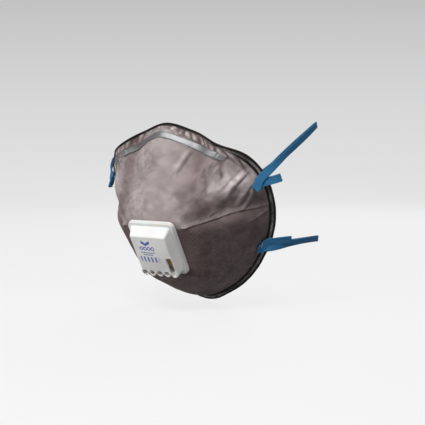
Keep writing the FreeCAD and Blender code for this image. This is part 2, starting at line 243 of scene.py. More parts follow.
# random fibres in several directions with soft patches, for non-woven webs
def makeFibreGroup():
    tree, given, result = startGroup(
        "looseFibres",
        [("Vector", "NodeSocketVector", None), ("Light", "NodeSocketColor", (0.5, 0.5, 0.5, 1)),
         ("Dark", "NodeSocketColor", (0.1, 0.1, 0.1, 1)), ("Patch", "NodeSocketFloat", 0.5),
         ("Contrast", "NodeSocketFloat", 0.5)],
        [("Color", "NodeSocketColor"), ("Height", "NodeSocketFloat")])
    vector = given.outputs["Vector"]
    strands = None
    for angle, stretch in ((12, 7.0), (74, 8.0), (131, 6.0)):
        turnedAt = turned(tree, vector, angle, (1.0, stretch, 1.0), (angle, 0, 0))
        strand = noiseAt(tree, turnedAt, 320.0, 3.0, 0.6, 0.8)
        strands = strand if strands is None else math2(tree, "MAXIMUM", strands, strand)
    strands = remap(tree, strands, 0.5, 0.78)
    fine = noiseAt(tree, vector, 900.0, 3.0, 0.6)
    cloud = noiseAt(tree, vector, 95.0, 4.0, 0.6, 0.5)
    wide = noiseAt(tree, turned(tree, vector, 20, (1, 1, 1), (3, 1, 0)), 30.0, 3.0, 0.55)
    patch = math2(tree, "ADD", math2(tree, "MULTIPLY", cloud, 0.55), math2(tree, "MULTIPLY", wide, 0.45))
    patch = remap(tree, patch, 0.36, 0.64)
    body = math2(tree, "ADD", math2(tree, "MULTIPLY", strands, 0.65), math2(tree, "MULTIPLY", fine, 0.35))
    body = math2(tree, "MULTIPLY", math2(tree, "SUBTRACT", body, 0.5), given.outputs["Contrast"])
    patch = math2(tree, "MULTIPLY", math2(tree, "SUBTRACT", patch, 0.5), given.outputs["Patch"])
    level = math2(tree, "ADD", math2(tree, "ADD", body, patch), 0.5, clamp=True)
    color = blendColor(tree, level, given.outputs["Dark"], given.outputs["Light"])
    tree.links.new(color, result.inputs["Color"])
    height = math2(tree, "ADD", math2(tree, "MULTIPLY", strands, 0.7), math2(tree, "MULTIPLY", fine, 0.3))
    tree.links.new(height, result.inputs["Height"])
    return tree


# rows of small pressed diamonds, offset every second row; 1 in a diamond, 0 between
def makeBondGroup():
    tree, given, result = startGroup(
        "bondPoints",
        [("Vector", "NodeSocketVector", None), ("Pitch", "NodeSocketFloat", 0.0018),
         ("Size", "NodeSocketFloat", 0.3)],
        [("Mask", "NodeSocketFloat")])
    parts = putNode(tree, "ShaderNodeSeparateXYZ")
    tree.links.new(given.outputs["Vector"], parts.inputs[0])
    x, y = parts.outputs[0], parts.outputs[1]
    offsets = []
    for combined in (math2(tree, "ADD", x, y), math2(tree, "SUBTRACT", x, y)):
        cell = math2(tree, "FRACT", math2(tree, "DIVIDE", combined, given.outputs["Pitch"]))
        offsets.append(math2(tree, "ABSOLUTE", math2(tree, "SUBTRACT", cell, 0.5)))
    reach = math2(tree, "MAXIMUM", offsets[0], offsets[1])
    inner = math2(tree, "MULTIPLY", given.outputs["Size"], 0.6)
    mask = remap(tree, reach, given.outputs["Size"], inner, smooth=True)
    tree.links.new(mask, result.inputs["Mask"])
    return tree


# fine moulding grain with slow unevenness, for plastics, rubber and metal
def makeGrainGroup():
    tree, given, result = startGroup(
        "mouldGrain",
        [("Vector", "NodeSocketVector", None), ("Scale", "NodeSocketFloat", 1500.0),
         ("Low", "NodeSocketFloat", 0.3), ("High", "NodeSocketFloat", 0.5)],
        [("Roughness", "NodeSocketFloat"), ("Height", "NodeSocketFloat"), ("Uneven", "NodeSocketFloat")])
    grain = noiseAt(tree, given.outputs["Vector"], given.outputs["Scale"], 3.0, 0.6)
    slow = noiseAt(tree, given.outputs["Vector"], 60.0, 3.0, 0.5)
    level = math2(tree, "ADD", math2(tree, "MULTIPLY", grain, 0.5), math2(tree, "MULTIPLY", slow, 0.5))
    rough = remap(tree, level, 0.3, 0.7, given.outputs["Low"], given.outputs["High"])
    tree.links.new(rough, result.inputs["Roughness"])
    tree.links.new(grain, result.inputs["Height"])
    tree.links.new(slow, result.inputs["Uneven"])
    return tree


looseFibres = makeFibreGroup()
bondPoints = makeBondGroup()
mouldGrain = makeGrainGroup()


def atUv(tree):
    return putNode(tree, "ShaderNodeTexCoord", (-1200, 0)).outputs["UV"]


def atObject(tree):
    return putNode(tree, "ShaderNodeTexCoord", (-1200, 0)).outputs["Object"]


# the cup's form
cup = {
    "lean": 22.5,
    "portUp": -4.3,
    "landOut": 42.5,
    "landTilt": 7.5,
    "landHalf": (19.5, 20.5),
    "portHalf": (14.0, 14.5),
    "cornerPower": 5.0,
    "flangeWidth": 5.0,
    "browCover": 2.4,
    "browCoverDeg": (34.0, 56.0),
    "lipRise": 0.6,
    "rimSweep": 9.0,
    "browLift": 8.7,
    "browX": 45.0,
    "browSpread": 15.0,
    "browFade": (15.0, 45.0),
    "halfWidth": 75.0,
    "ridgeDeg": 10.0,
    "ridgeLandDeg": 33.0,
    "ridgeLift": 1.6,
    "ridgeSpread": 7.0,
    "ridgeBow": 5.5,
    "webThick": 0.45,
    "shellDepth": 1.85,
    "shellThick": 0.9,
}

# angle, rim radius, front run, wall run, wall rise
cupProfile = np.array([
    (-90, 71.7, 24, 9, 20),
    (-70, 67.4, 23, 9, 20),
    (-50, 65.1, 22, 9, 20),
    (-30, 65.2, 20, 10, 20),
    (-10, 69.2, 20, 9, 18),
    (10, 74.9, 21, 8, 18),
    (26, 79.4, 20, 11, 14),
    (42, 81.4, 17, 12, 8),
    (58, 79.0, 13, 11, 6),
    (74, 77.5, 10, 6, 14),
    (90, 80.3, 10, 5, 16),
], float)


# cup frame in millimetres to the mask's own place in metres
def worn(points):
    points = np.asarray(points, float)
    s, c = math.sin(math.radians(cup["lean"])), math.cos(math.radians(cup["lean"]))
    x, up, out = points[..., 0], points[..., 1], points[..., 2]
    return np.stack([x, -up * s - out * c, up * c - out * s], -1) * mm


def keyed(angle, column):
    knots, values = cupProfile[:, 0], cupProfile[:, column]
    slopes = np.zeros(len(knots))
    slopes[1:-1] = (values[2:] - values[:-2]) / (knots[2:] - knots[:-2])
    i = np.clip(np.searchsorted(knots, angle) - 1, 0, len(knots) - 2)
    span = knots[i + 1] - knots[i]
    t = (angle - knots[i]) / span
    return ((2 * t**3 - 3 * t * t + 1) * values[i] + (3 * t * t - 2 * t**3) * values[i + 1]
            + (t**3 - 2 * t * t + t) * span * slopes[i] + (t**3 - t * t) * span * slopes[i + 1])


def folded(theta):
    theta = np.asarray(theta, float)
    side = np.where(np.cos(np.radians(theta)) >= 0, 1.0, -1.0)
    return side, np.degrees(np.arcsin(np.clip(np.sin(np.radians(theta)), -1, 1)))


def stackPoints(x, y, z):
    return np.stack(np.broadcast_arrays(x, y, z), -1)


landLean = math.radians(cup["landTilt"])
landNormal = np.array([0, -math.sin(landLean), math.cos(landLean)])


def landPoint(side, angle, half):
    c, s = np.cos(np.radians(angle)), np.sin(np.radians(angle))
    power = cup["cornerPower"]
    k = (np.abs(c / half[0])**power + np.abs(s / half[1])**power)**(-1 / power)
    out = cup["landOut"] + math.tan(math.radians(cup["landTilt"])) * k * s
    return stackPoints(side * k * c, cup["portUp"] + k * s, out)


def landAngle(angle):
    ridge = cup["ridgeDeg"]
    w = np.where(angle >= ridge, (90 - angle) / (90 - ridge), (angle + 90) / (90 + ridge))
    return angle + (cup["ridgeLandDeg"] - ridge) * w * w * (3 - 2 * w)


def rimPoint(theta, inset, lift):
    side, angle = folded(theta)
    radius = keyed(angle, 1) - inset
    x = radius * np.cos(np.radians(angle))
    up = cup["portUp"] + radius * np.sin(np.radians(angle))
    low, high = cup["browFade"]
    fade = np.clip((up - low) / (high - low), 0, 1)
    brow = cup["browLift"] * np.exp(-((x - cup["browX"]) / cup["browSpread"])**2) * fade
    return stackPoints(side * x, up, brow - cup["rimSweep"] * (x / cup["halfWidth"])**2 + lift)


# width of the welded edge that the webs leave bare: less of it over the nose
def coveredWidth(theta):
    angle = folded(theta)[1]
    return cup["flangeWidth"] - cup["browCover"] * ramp(angle, *cup["browCoverDeg"])


def ramp(x, low, high):
    t = np.clip((x - low) / (high - low), 0, 1)
    return t * t * (3 - 2 * t)


def unit(v):
    return v / np.maximum(np.linalg.norm(v, axis=-1, keepdims=True), 1e-9)


# points over the cup: angle around, share of the way from the port's land to the rim, depth
def cupPoint(theta, t, depth=0.0):
    theta, t = np.broadcast_arrays(np.asarray(theta, float), np.asarray(t, float))
    side, angle = folded(theta)
    tilt = math.tan(math.radians(cup["landTilt"]))
    start = landPoint(side, landAngle(angle), cup["landHalf"])
    end = rimPoint(theta, coveredWidth(theta), cup["lipRise"])
    flat = unit((end - start) * np.array([1, 1, 0]))
    run, wallRun, wallRise = keyed(angle, 2), keyed(angle, 3), keyed(angle, 4)
    second = start + run[..., None] * stackPoints(flat[..., 0], flat[..., 1], tilt * flat[..., 1])
    third = end + stackPoints(-wallRun * flat[..., 0], -wallRun * flat[..., 1], wallRise)
    along = unit(third - second)
    across = stackPoints(-flat[..., 1], flat[..., 0], 0 * flat[..., 0])
    normal = unit(np.cross(across, along))
    normal = normal * np.where(normal[..., 2:] < 0, -1, 1)
    crest = cup["ridgeLift"] * np.exp(-((angle - cup["ridgeDeg"]) / cup["ridgeSpread"])**2)
    third = third + crest[..., None] * normal
    second = second + crest[..., None] * flat
    start = start - depth * landNormal
    second = second - depth * (landNormal + 0.35 * flat)
    third = third - depth * normal
    end = rimPoint(theta, coveredWidth(theta) + depth, cup["lipRise"])
    s = t[..., None]
    return (1 - s)**3 * start + 3 * s * (1 - s)**2 * second + 3 * s * s * (1 - s) * third + s**3 * end


def bump(x, width):
    return np.exp(-(x / width)**2)


# soft swells and hollows that all the webs share: heights and widths in millimetres
swell = {
    "nose": 2.6,
    "noseWide": 10.0,
    "hollow": 2.3,
    "hollowAt": 29.0,
    "hollowWide": 8.5,
    "cheek": 3.4,
    "cheekAbove": 18.5,
    "cheekWide": 8.5,
    "farShare": 0.3,
    "ridgeSink": 2.7,
    "ridgeSinkAbove": 2.5,
    "ridgeSinkWide": 7.5,
    "browDip": 1.8,
    "browDipAt": (24.0, 50.0),
    "browDipWide": (8.0, 9.0),
}


# distance up from the ridge line, along the surface
def aboveRidge(theta, t, points):
    radius = np.hypot(points[..., 0], points[..., 1] - cup["portUp"])
    line = cup["ridgeDeg"] + cup["ridgeBow"] * (1 - ramp(t, 0.5, 0.98))
    return (folded(theta)[1] - line) * math.pi / 180 * radius


def swellLift(theta, t, points):
    near = 1 - (1 - swell["farShare"]) * ramp(-points[..., 0], 0.0, 30.0)
    x, up = np.abs(points[..., 0]), points[..., 1]
    beside = aboveRidge(theta, t, points)
    high = ramp(up, 12.0, 34.0) * ramp(t, 0.12, 0.4) * (1 - ramp(t, 0.93, 1.0))
    lift = swell["nose"] * bump(x, swell["noseWide"]) * high
    lift = lift - swell["hollow"] * bump(x - swell["hollowAt"], swell["hollowWide"]) * high
    middle = ramp(t, 0.25, 0.5) * (1 - ramp(t, 0.88, 0.99))
    cheek = swell["cheek"] * bump(beside - swell["cheekAbove"], swell["cheekWide"])
    lift = lift + cheek * middle * ramp(x, 24, 42) * near
    sink = ramp(t, 0.05, 0.3) * (1 - ramp(t, 0.9, 1.0))
    lift = lift - swell["ridgeSink"] * bump(beside - swell["ridgeSinkAbove"], swell["ridgeSinkWide"]) * sink
    at, wide = swell["browDipAt"], swell["browDipWide"]
    dip = bump(x - at[0], wide[0]) * bump(up - at[1], wide[1])
    return lift - swell["browDip"] * dip * (1 - ramp(t, 0.95, 1.0))


# point on the swelled cup, outward normal and the direction toward the rim
def cupFrame(theta, t, depth=0.0):
    theta, t = np.broadcast_arrays(np.asarray(theta, float), np.asarray(t, float))
    here = cupPoint(theta, t, depth)
    down = cupPoint(theta, np.minimum(t + 0.01, 1.0), depth) - cupPoint(theta, t - 0.01, depth)
    around = cupPoint(theta + 0.5, t, depth) - cupPoint(theta - 0.5, t, depth)
    normal = unit(np.cross(down, around))
    return here + normal * swellLift(theta, t, here)[..., None], normal, unit(down)


# smooth unevenness from -1 to 1 over points in millimetres
def softNoise(points, size, seed):
    flat = points.reshape(-1, 3) / size + np.array([seed * 7.3, seed * 3.1, seed * 1.7])
    found = np.array([noise.noise(Vector(p)) for p in flat])
    return found.reshape(points.shape[:-1])


# cover web, in millimetres
coverWeb = {
    "aroundStep": 0.6,
    "fineStep": 0.16,
    "fineReach": 4.4,
    "rows": 150,
    "landRows": 5,
    "lipHeight": 0.95,
    "lipDrop": 0.34,
    "lipBack": 3.2,
    "billow": 0.6,
    "billowSize": 17.0,
    "crumple": 0.55,
    "crumpleSize": 4.8,
    "streak": 0.75,
    "streakAcross": 3.6,
    "streakAlong": 12.0,
    "streakLean": 28.0,
    "pucker": 0.14,
    "puckerSize": 2.6,
    "browWrinkle": 2.1,
    "browPitch": 4.6,
    "browLean": 0.35,
    "browUneven": 2.2,
    "waver": 0.6,
    "nick": 1.7,
    "nickBack": 2.2,
    "nickAt": 0.145,
    "nickWide": 0.032,
    "mirroredShare": 0.7,
    "deepest": 0.34,
    "light": (0.8, 0.715, 0.705, 1.0),
    "dark": (0.18, 0.154, 0.152, 1.0),
    "bondTint": (0.08, 0.068, 0.067, 1),
    "bondPitch": 0.0021,
    "bondSize": 0.42,
    # tones of the painted shade and painted light, multiplied into the cover's colour
    "paintedShadeTone": (0.46, 0.37, 0.365, 1),
    "paintedLightTone": (1.85, 1.85, 1.85, 1),
}

# painted shade and painted light on the cover web: shares added or taken away at each place
paintedShadingShares = {
    "everywhere": 0.2,
    "aboveRidge": 0.5,
    "nose": 0.15,
    "hollow": 0.4,
    "lowCheek": 0.42,
    "highCheek": 0.4,
    "byValve": 0.16,
    "brow": 0.75,
    "pleat": 1.7,
    "lifted": 0.12,
}

# each crease: points across the cup's front (x, up), groove depth, raised side's height, width
creases = [
    ([(53.0, 26.0), (57.0, 31.0), (60.0, 34.0), (63.0, 37.0)], 0.34, 1.3, 1.5),
    ([(55.5, 14.5), (58.5, 19.0), (61.5, 23.0), (65.0, 28.0)], 0.34, 2.0, 1.4),
    ([(57.5, 10.5), (60.0, 14.0), (63.0, 18.5), (66.5, 24.0)], 0.34, 1.7, 1.3),
    ([(52.0, 21.0), (53.5, 25.0), (56.0, 30.0), (60.5, 35.0)], 0.3, 1.1, 1.8),
    ([(49.0, 30.0), (53.0, 35.0), (58.0, 40.0)], 0.3, 0.9, 1.6),
    ([(38.0, 20.0), (40.5, 14.0), (45.0, 16.0)], 0.34, 0.7, 1.3),
    ([(41.0, 29.0), (39.0, 36.0), (36.0, 46.0)], 0.3, 1.3, 2.8),
    ([(48.0, 31.0), (47.0, 37.0), (45.0, 44.0)], 0.3, 1.1, 2.6),
    ([(17.5, 44.5), (21.5, 51.0), (25.5, 57.5)], 0.34, 2.0, 1.7),
    ([(30.0, 22.0), (36.0, 28.0), (44.0, 31.0)], 0.25, 0.6, 2.6),
    ([(46.0, -25.0), (52.0, -26.5), (56.5, -28.5)], 0.3, 0.8, 1.6),
    ([(40.0, -40.0), (44.0, -43.0), (47.0, -47.0)], 0.3, 0.6, 1.6),
    ([(60.0, 0.0), (65.0, 2.0), (69.0, 3.5)], 0.3, 0.7, 1.0),
    ([(-2.0, 47.0), (-1.5, 56.0), (-5.0, 63.5)], 0.3, 0.9, 1.5),
    ([(-17.0, 41.0), (-24.0, 47.0), (-25.5, 54.0)], 0.3, 1.0, 2.0),
    ([(-33.5, 26.0), (-35.0, 37.5), (-37.0, 47.0)], 0.3, 1.0, 2.2),
]
mirroredCreases = (1, 3, 7, 10, 12)  # these also run on the other side, weaker


# angles around the cup, closer together beside the given ones
def aroundAngles(step, fineStep, reach, centres):
    found = [0.0]
    while found[-1] < 360:
        near = min(abs((found[-1] - c + 180) % 360 - 180) for c in centres)
        mix = min(1.0, max(0.0, (near - reach) / (2 * reach)))
        found.append(found[-1] + fineStep + (step - fineStep) * mix)
    return np.array(found[:-1])


# height added by one crease at points (x, up)
def creaseLift(flat, crease):
    line, groove, lift, width = crease
    line = np.array(line, float)
    best = np.full(flat.shape[:-1], 1e9)
    offset = np.zeros(flat.shape[:-1])
    share = np.zeros(flat.shape[:-1])
    lengths = np.linalg.norm(line[1:] - line[:-1], axis=1)
    total, walked = lengths.sum(), 0.0
    for a, b, length in zip(line[:-1], line[1:], lengths):
        along = (b - a) / length
        reach = np.clip(((flat - a) * along).sum(-1), 0, length)
        gap = flat - (a + reach[..., None] * along)
        distance = np.linalg.norm(gap, axis=-1)
        signed = gap[..., 0] * -along[1] + gap[..., 1] * along[0]
        closer = distance < best
        best = np.where(closer, distance, best)
        offset = np.where(closer, signed, offset)
        share = np.where(closer, (walked + reach) / total, share)
        walked += length
    fade = np.sin(np.pi * np.clip(share, 0.0, 1.0))**0.7 * bump(np.maximum(best - np.abs(offset), 0), width)
    side = np.sign(offset)
    raised = lift * bump(best - 1.1 * width, 1.3 * width) * (side > 0)
    return fade * (raised - groove * bump(best, 0.6 * width))


# small gathers (0 to 1) between the nose clip and the welded edge
def browPleats(theta, t, points):
    side = folded(theta)[0]
    brow = ramp(points[..., 1], 24.0, 36.0) * ramp(t, 0.9, 0.925) * (1 - ramp(t, 0.985, 1.0))
    run = points[..., 0] + coverWeb["browLean"] * (points[..., 1] - 50) * side
    run = run + coverWeb["browUneven"] * softNoise(points, 8.0, 3)
    fold = np.abs(np.sin(run * math.pi / coverWeb["browPitch"]))
    return brow * fold * (0.6 + 0.6 * softNoise(points, 7.0, 4))


# how far the soft cover web stands off the plain cup, in millimetres
def coverLift(theta, t, points):
    side = folded(theta)[0]
    flat = points[..., :2]
    beside = aboveRidge(theta, t, points)
    waver = coverWeb["waver"] * softNoise(points, 14.0, 5)
    beside = beside + waver * ramp(t, 0.1, 0.3)
    above = np.maximum(beside, 0)
    lip = ramp(beside, -0.6, 0.35) * bump(above, coverWeb["lipBack"]) * coverWeb["lipHeight"]
    lip = lip - coverWeb["lipDrop"] * bump(beside + 1.0, 0.8)
    lip = lip * ramp(t, 0.09, 0.13) * (1 - 0.55 * ramp(t, 0.8, 1.0))
    lip = lip * (0.75 + 0.35 * softNoise(points, 9.0, 8))
    nick = coverWeb["nick"] * ramp(beside, -0.6, 0.4) * bump(above, coverWeb["nickBack"])
    nick = nick * bump(t - coverWeb["nickAt"], coverWeb["nickWide"])
    upper = ramp(beside, -2.0, 6.0)
    settle = ramp(t, 0.0, 0.2) * (1 - 0.8 * ramp(t, 0.85, 1.0))
    billow = coverWeb["billow"] * softNoise(points, coverWeb["billowSize"], 1)
    crumple = coverWeb["crumple"] * softNoise(points, coverWeb["crumpleSize"], 2)
    crumple = crumple + coverWeb["pucker"] * softNoise(points, coverWeb["puckerSize"], 9)
    lean = np.radians(coverWeb["streakLean"]) * side
    across = points[..., 0] * np.cos(lean) - points[..., 1] * np.sin(lean)
    along = points[..., 0] * np.sin(lean) + points[..., 1] * np.cos(lean)
    fold = stackPoints(across / coverWeb["streakAcross"], along / coverWeb["streakAlong"], 0 * along)
    streak = coverWeb["streak"] * np.clip(1 - 3.2 * np.abs(softNoise(fold, 1.0, 12)), 0, 1)**1.5
    streak = streak * ramp(softNoise(points, 15.0, 13), -0.25, 0.3)
    streak = streak * ramp(np.abs(points[..., 0]), 6.0, 22.0)
    crumple = crumple + streak * upper * ramp(points[..., 1], 24.0, 34.0) * (1 - ramp(t, 0.76, 0.82))
    soft = settle * (billow * (0.45 + 0.55 * upper) + crumple * (0.35 + 0.65 * upper))
    gathers = coverWeb["browWrinkle"] * browPleats(theta, t, points)
    total = lip + nick + soft + gathers
    mirroredFlat = flat * np.array([-1, 1])
    for i, crease in enumerate(creases):
        total = total + creaseLift(flat, crease)
        if i in mirroredCreases:
            total = total + coverWeb["mirroredShare"] * creaseLift(mirroredFlat, crease)
    return np.maximum(total, -coverWeb["deepest"])


# painted shading of the cover web, from 0 (darker) to 1.2 (lighter): lighter above the ridge, on the nose,
# high on the cheek and on raised folds; painted shade in the hollows, low on the cheek, by the valve and
# over the brow, less of it on the brow pleats' crests
def coverPaintedShading(theta, t, points, lift):
    x, up = points[..., 0], points[..., 1]
    beside = aboveRidge(theta, t, points)
    wide = np.abs(x)
    above = ramp(beside, -1.0, 1.5)
    high = ramp(up, 10.0, 30.0) * ramp(t, 0.1, 0.3)
    paintedShading = paintedShadingShares["everywhere"] + paintedShadingShares["aboveRidge"] * above
    paintedShading = paintedShading + paintedShadingShares["nose"] * bump(x - 6.0, 13.0) * high
    paintedShading = paintedShading - paintedShadingShares["hollow"] * bump(wide - 32.0, 9.0) * high
    paintedShading = paintedShading - paintedShadingShares["lowCheek"] * bump(beside - 6.0, 8.5) * ramp(wide, 22, 36) * above
    paintedShading = paintedShading + paintedShadingShares["highCheek"] * bump(beside - 24.0, 8.0) * ramp(wide, 38, 48)
    paintedShading = paintedShading - paintedShadingShares["byValve"] * (1 - ramp(t, 0.2, 0.45)) * (1 - ramp(beside, -3.0, 1.0))
    shadedValley = ramp(up, 24.0, 36.0) * ramp(t, 0.89, 0.93)
    paintedShading = paintedShading - paintedShadingShares["brow"] * shadedValley * (1 - paintedShadingShares["pleat"] * browPleats(theta, t, points))
    return np.clip(paintedShading + paintedShadingShares["lifted"] * lift, 0.0, 1.2)


# flat place of a point on the sheet that the cup was pressed from
def sheetUv(theta, distance):
    return np.stack([distance * np.cos(np.radians(theta)), distance * np.sin(np.radians(theta))], -1) * mm


def setUv(obj, places):
    layer = obj.data.uv_layers.new(name="sheet")
    index = np.zeros(len(obj.data.loops), int)
    obj.data.loops.foreach_get("vertex_index", index)
    layer.data.foreach_set("uv", places[index].ravel())


# a closed web of the cup: outer face with its lift, inner face, and both edges
def webMesh(name, outerDepth, innerDepth, lift, step, fineStep, reach, rows):
    paintedShading = None
    ridge = cup["ridgeDeg"] + cup["ridgeBow"] / 2
    theta = aroundAngles(step, fineStep, reach, (ridge, 180 - ridge))
    rowsT = np.linspace(0, 1, rows)
    thetaGrid, tGrid = np.meshgrid(theta, rowsT)
    outer, normal = cupFrame(thetaGrid, tGrid, outerDepth)[:2]
    inner = cupFrame(thetaGrid, tGrid, innerDepth)[0]
    if lift is not None:
        height = lift(thetaGrid, tGrid, outer)
        paintedShading = coverPaintedShading(thetaGrid, tGrid, outer, height)
        outer = outer + normal * height[..., None]
    side, angle = folded(theta)
    port = landPoint(side, landAngle(angle), cup["portHalf"])
    shares = np.linspace(0, 1, coverWeb["landRows"], endpoint=False)
    start = landPoint(side, landAngle(angle), cup["landHalf"])
    land = np.array([port + s * (start - port) for s in shares])
    stack = np.concatenate([inner[::-1], land[::-1] - innerDepth * landNormal,
                            land - outerDepth * landNormal, outer])
    steps = np.linalg.norm(np.diff(stack, axis=0), axis=-1)
    total = np.concatenate([np.zeros((1, len(theta))), np.cumsum(steps, axis=0)])
    middle = len(inner) + len(land)
    distance = np.abs(total - total[middle:middle + 1]) + np.linalg.norm(port[:, :2], axis=-1)
    count = len(theta)
    faces = gridFaces(len(stack), count)
    last = (len(stack) - 1) * count
    faces += [[(j + 1) % count, j, last + j, last + (j + 1) % count] for j in range(count)]
    obj = makeMesh(name, worn(stack.reshape(-1, 3)), faces)
    outward(obj)
    places = sheetUv(np.broadcast_to(theta, distance.shape), distance).reshape(-1, 2)
    setUv(obj, places)
    # the cover's painted shading, kept on each point for its colour
    if paintedShading is not None:
        values = np.full(distance.shape, 0.3)
        values[-len(paintedShading):] = paintedShading
        obj.data.attributes.new("paintedShading", "FLOAT", "POINT").data.foreach_set("value", values.ravel())
    return obj


def coverMaterial():
    material, tree, shader = startMaterial("coverWeb")
    uv = atUv(tree)
    fibres = useGroup(tree, looseFibres, Vector=uv, Light=coverWeb["light"], Dark=coverWeb["dark"],
                      Patch=0.42, Contrast=1.25)
    bonds = useGroup(tree, bondPoints, Vector=uv, Pitch=coverWeb["bondPitch"],
                     Size=coverWeb["bondSize"])["Mask"]
    uneven = remap(tree, noiseAt(tree, uv, 200.0, 2.0, 0.6), 0.3, 0.6, 0.45, 0.85)
    pressed = math2(tree, "MULTIPLY", bonds, uneven)
    darker = blendColor(tree, pressed, fibres["Color"], coverWeb["bondTint"])
    paintedShading = putNode(tree, "ShaderNodeAttribute", attribute_name="paintedShading").outputs["Fac"]
    # painted shade and painted light: the cover's colour is multiplied darker where its painted shading is
    # low and lighter where it is high
    depth = remap(tree, paintedShading, 0.1, 1.2)
    tone = blendColor(tree, depth, coverWeb["paintedShadeTone"], coverWeb["paintedLightTone"])
    color = blendColor(tree, 1.0, darker, tone, "MULTIPLY")
    color.node.clamp_result = True
    tree.links.new(color, shader.inputs["Base Color"])
    setShader(shader, Roughness=0.92, Sheen_Weight=0.08, Sheen_Roughness=0.5)
    shader.inputs["Specular IOR Level"].default_value = 0.25
    height = math2(tree, "SUBTRACT", math2(tree, "MULTIPLY", fibres["Height"], 0.45),
                   math2(tree, "MULTIPLY", bonds, 0.6))
    addBump(tree, shader, height, 0.6, 0.00025)
    return material


cover = webMesh("coverWeb", 0.0, cup["webThick"], coverLift, coverWeb["aroundStep"],
                coverWeb["fineStep"], coverWeb["fineReach"], coverWeb["rows"])
cover.data.materials.append(coverMaterial())
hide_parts("outer_cover")
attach(cover, "mask")
print("mask: cover web")


# inner shell, seen from the wearer's side
innerShell = {
    "step": 1.6,
    "rows": 70,
    "light": (0.76, 0.75, 0.73, 1.0),
    "dark": (0.52, 0.51, 0.5, 1.0),
    "bondTint": (0.45, 0.44, 0.43, 1),
    "bondPitch": 0.0026,
    "bondSize": 0.3,
}


def shellMaterial():
    material, tree, shader = startMaterial("innerShell")
    uv = atUv(tree)
    fibres = useGroup(tree, looseFibres, Vector=uv, Light=innerShell["light"], Dark=innerShell["dark"],
                      Patch=0.4, Contrast=0.6)
    bonds = useGroup(tree, bondPoints, Vector=uv, Pitch=innerShell["bondPitch"],
                     Size=innerShell["bondSize"])["Mask"]
    shade = blendColor(tree, math2(tree, "MULTIPLY", bonds, 0.3), fibres["Color"], innerShell["bondTint"])
    tree.links.new(shade, shader.inputs["Base Color"])
    setShader(shader, Roughness=0.85, Sheen_Weight=0.2)
    height = math2(tree, "SUBTRACT", math2(tree, "MULTIPLY", fibres["Height"], 0.5), bonds)
    addBump(tree, shader, height, 0.5, 0.0002)
    return material


shellDeep = cup["shellDepth"] + cup["shellThick"]
shell = webMesh("innerShell", cup["shellDepth"], shellDeep, None, innerShell["step"], innerShell["step"],
                1.0, innerShell["rows"])
shell.data.materials.append(shellMaterial())
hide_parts("support_shell")
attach(shell, "mask")
print("mask: inner shell")


# welded edge all round the mask
weldedEdge = {
    "step": 0.6,
    "wave": 0.22,
    "tooth": 0.07,
    "light": (0.024, 0.02, 0.019, 1.0),
    "dark": (0.007, 0.006, 0.006, 1.0),
    "stripTint": (0.33, 0.31, 0.3, 1),
    "insideTint": (0.42, 0.41, 0.4, 1),
}

# inset from the edge and height, over the front face and back along the wearer's side
edgeLoop = [
    (0.0, -0.2), (0.05, 0.15), (0.35, 0.42), (0.9, 0.5), (1.4, 0.38), (1.7, 0.16), (2.1, 0.12),
    (2.9, 0.12), (3.3, 0.2), (3.6, 0.42), (4.2, 0.52), (5.0, 0.5), (6.4, 0.45), (8.2, 0.4),
    (8.2, -0.9), (6.0, -0.9), (3.6, -0.86), (3.2, -0.66), (1.9, -0.66), (1.5, -0.86), (0.7, -0.88),
    (0.2, -0.7), (0.03, -0.45),
]
frontPoints = 14  # the first ones lie on the front face


def edgeMesh():
    theta = np.arange(0, 360, weldedEdge["step"])
    rows = []
    base = rimPoint(theta, 0.0, 0.0)
    wave = weldedEdge["wave"] * softNoise(base, 11.0, 6)
    ripple = weldedEdge["wave"] * softNoise(base, 6.0, 7)
    for inset, height in edgeLoop:
        outer = max(0.0, 1 - inset / 5.0)
        teeth = weldedEdge["tooth"] * np.sin(np.arange(len(theta)) * 2 * math.pi / 4)
        press = teeth if 1.7 < inset < 3.3 else 0.0
        rows.append(rimPoint(theta, inset + 0.25 - outer * wave, height + outer * ripple + press))
    rows = np.array(rows)
    count = len(theta)
    faces = gridFaces(len(rows), count)
    last = (len(rows) - 1) * count
    faces += [[last + j, last + (j + 1) % count, (j + 1) % count, j] for j in range(count)]
    obj = makeMesh("weldedEdge", worn(rows.reshape(-1, 3)), faces)
    outward(obj)
    insets = np.repeat([p[0] if i < frontPoints else 10 + p[0] for i, p in enumerate(edgeLoop)], count)
    along = np.tile(np.radians(theta) * 72.0, len(rows))
    setUv(obj, np.stack([along, insets], -1) * mm)
    return obj


def edgeMaterial():
    material, tree, shader = startMaterial("weldedEdge")
    uv = atUv(tree)
    fibres = useGroup(tree, looseFibres, Vector=uv, Light=weldedEdge["light"], Dark=weldedEdge["dark"],
                      Patch=0.5, Contrast=0.7)
    parts = putNode(tree, "ShaderNodeSeparateXYZ")
    tree.links.new(uv, parts.inputs[0])
    ragged = math2(tree, "SUBTRACT", noiseAt(tree, uv, 420.0, 3.0, 0.6), 0.5)
    ragged = math2(tree, "MULTIPLY", ragged, 0.0016)
    across = math2(tree, "ADD", parts.outputs[1], ragged)
    rise = remap(tree, across, 0.0013, 0.0017, smooth=True)
    fall = remap(tree, across, 0.0034, 0.0029, smooth=True)
    strip = math2(tree, "MULTIPLY", rise, fall)
    patchy = noiseAt(tree, uv, 45.0, 3.0, 0.6)
    strip = math2(tree, "MULTIPLY", strip, remap(tree, patchy, 0.38, 0.6, 0.12, 1.0))
    color = blendColor(tree, strip, fibres["Color"], weldedEdge["stripTint"])
    inside = remap(tree, parts.outputs[1], 0.0092, 0.0096)
    color = blendColor(tree, inside, color, weldedEdge["insideTint"])
    tree.links.new(color, shader.inputs["Base Color"])
    setShader(shader, Roughness=0.85)
    shader.inputs["Specular IOR Level"].default_value = 0.15
    addBump(tree, shader, fibres["Height"], 0.5, 0.0002)
    return material


edge = edgeMesh()
edge.data.materials.append(edgeMaterial())
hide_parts("rim_flange")
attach(edge, "mask")
print("mask: welded edge")


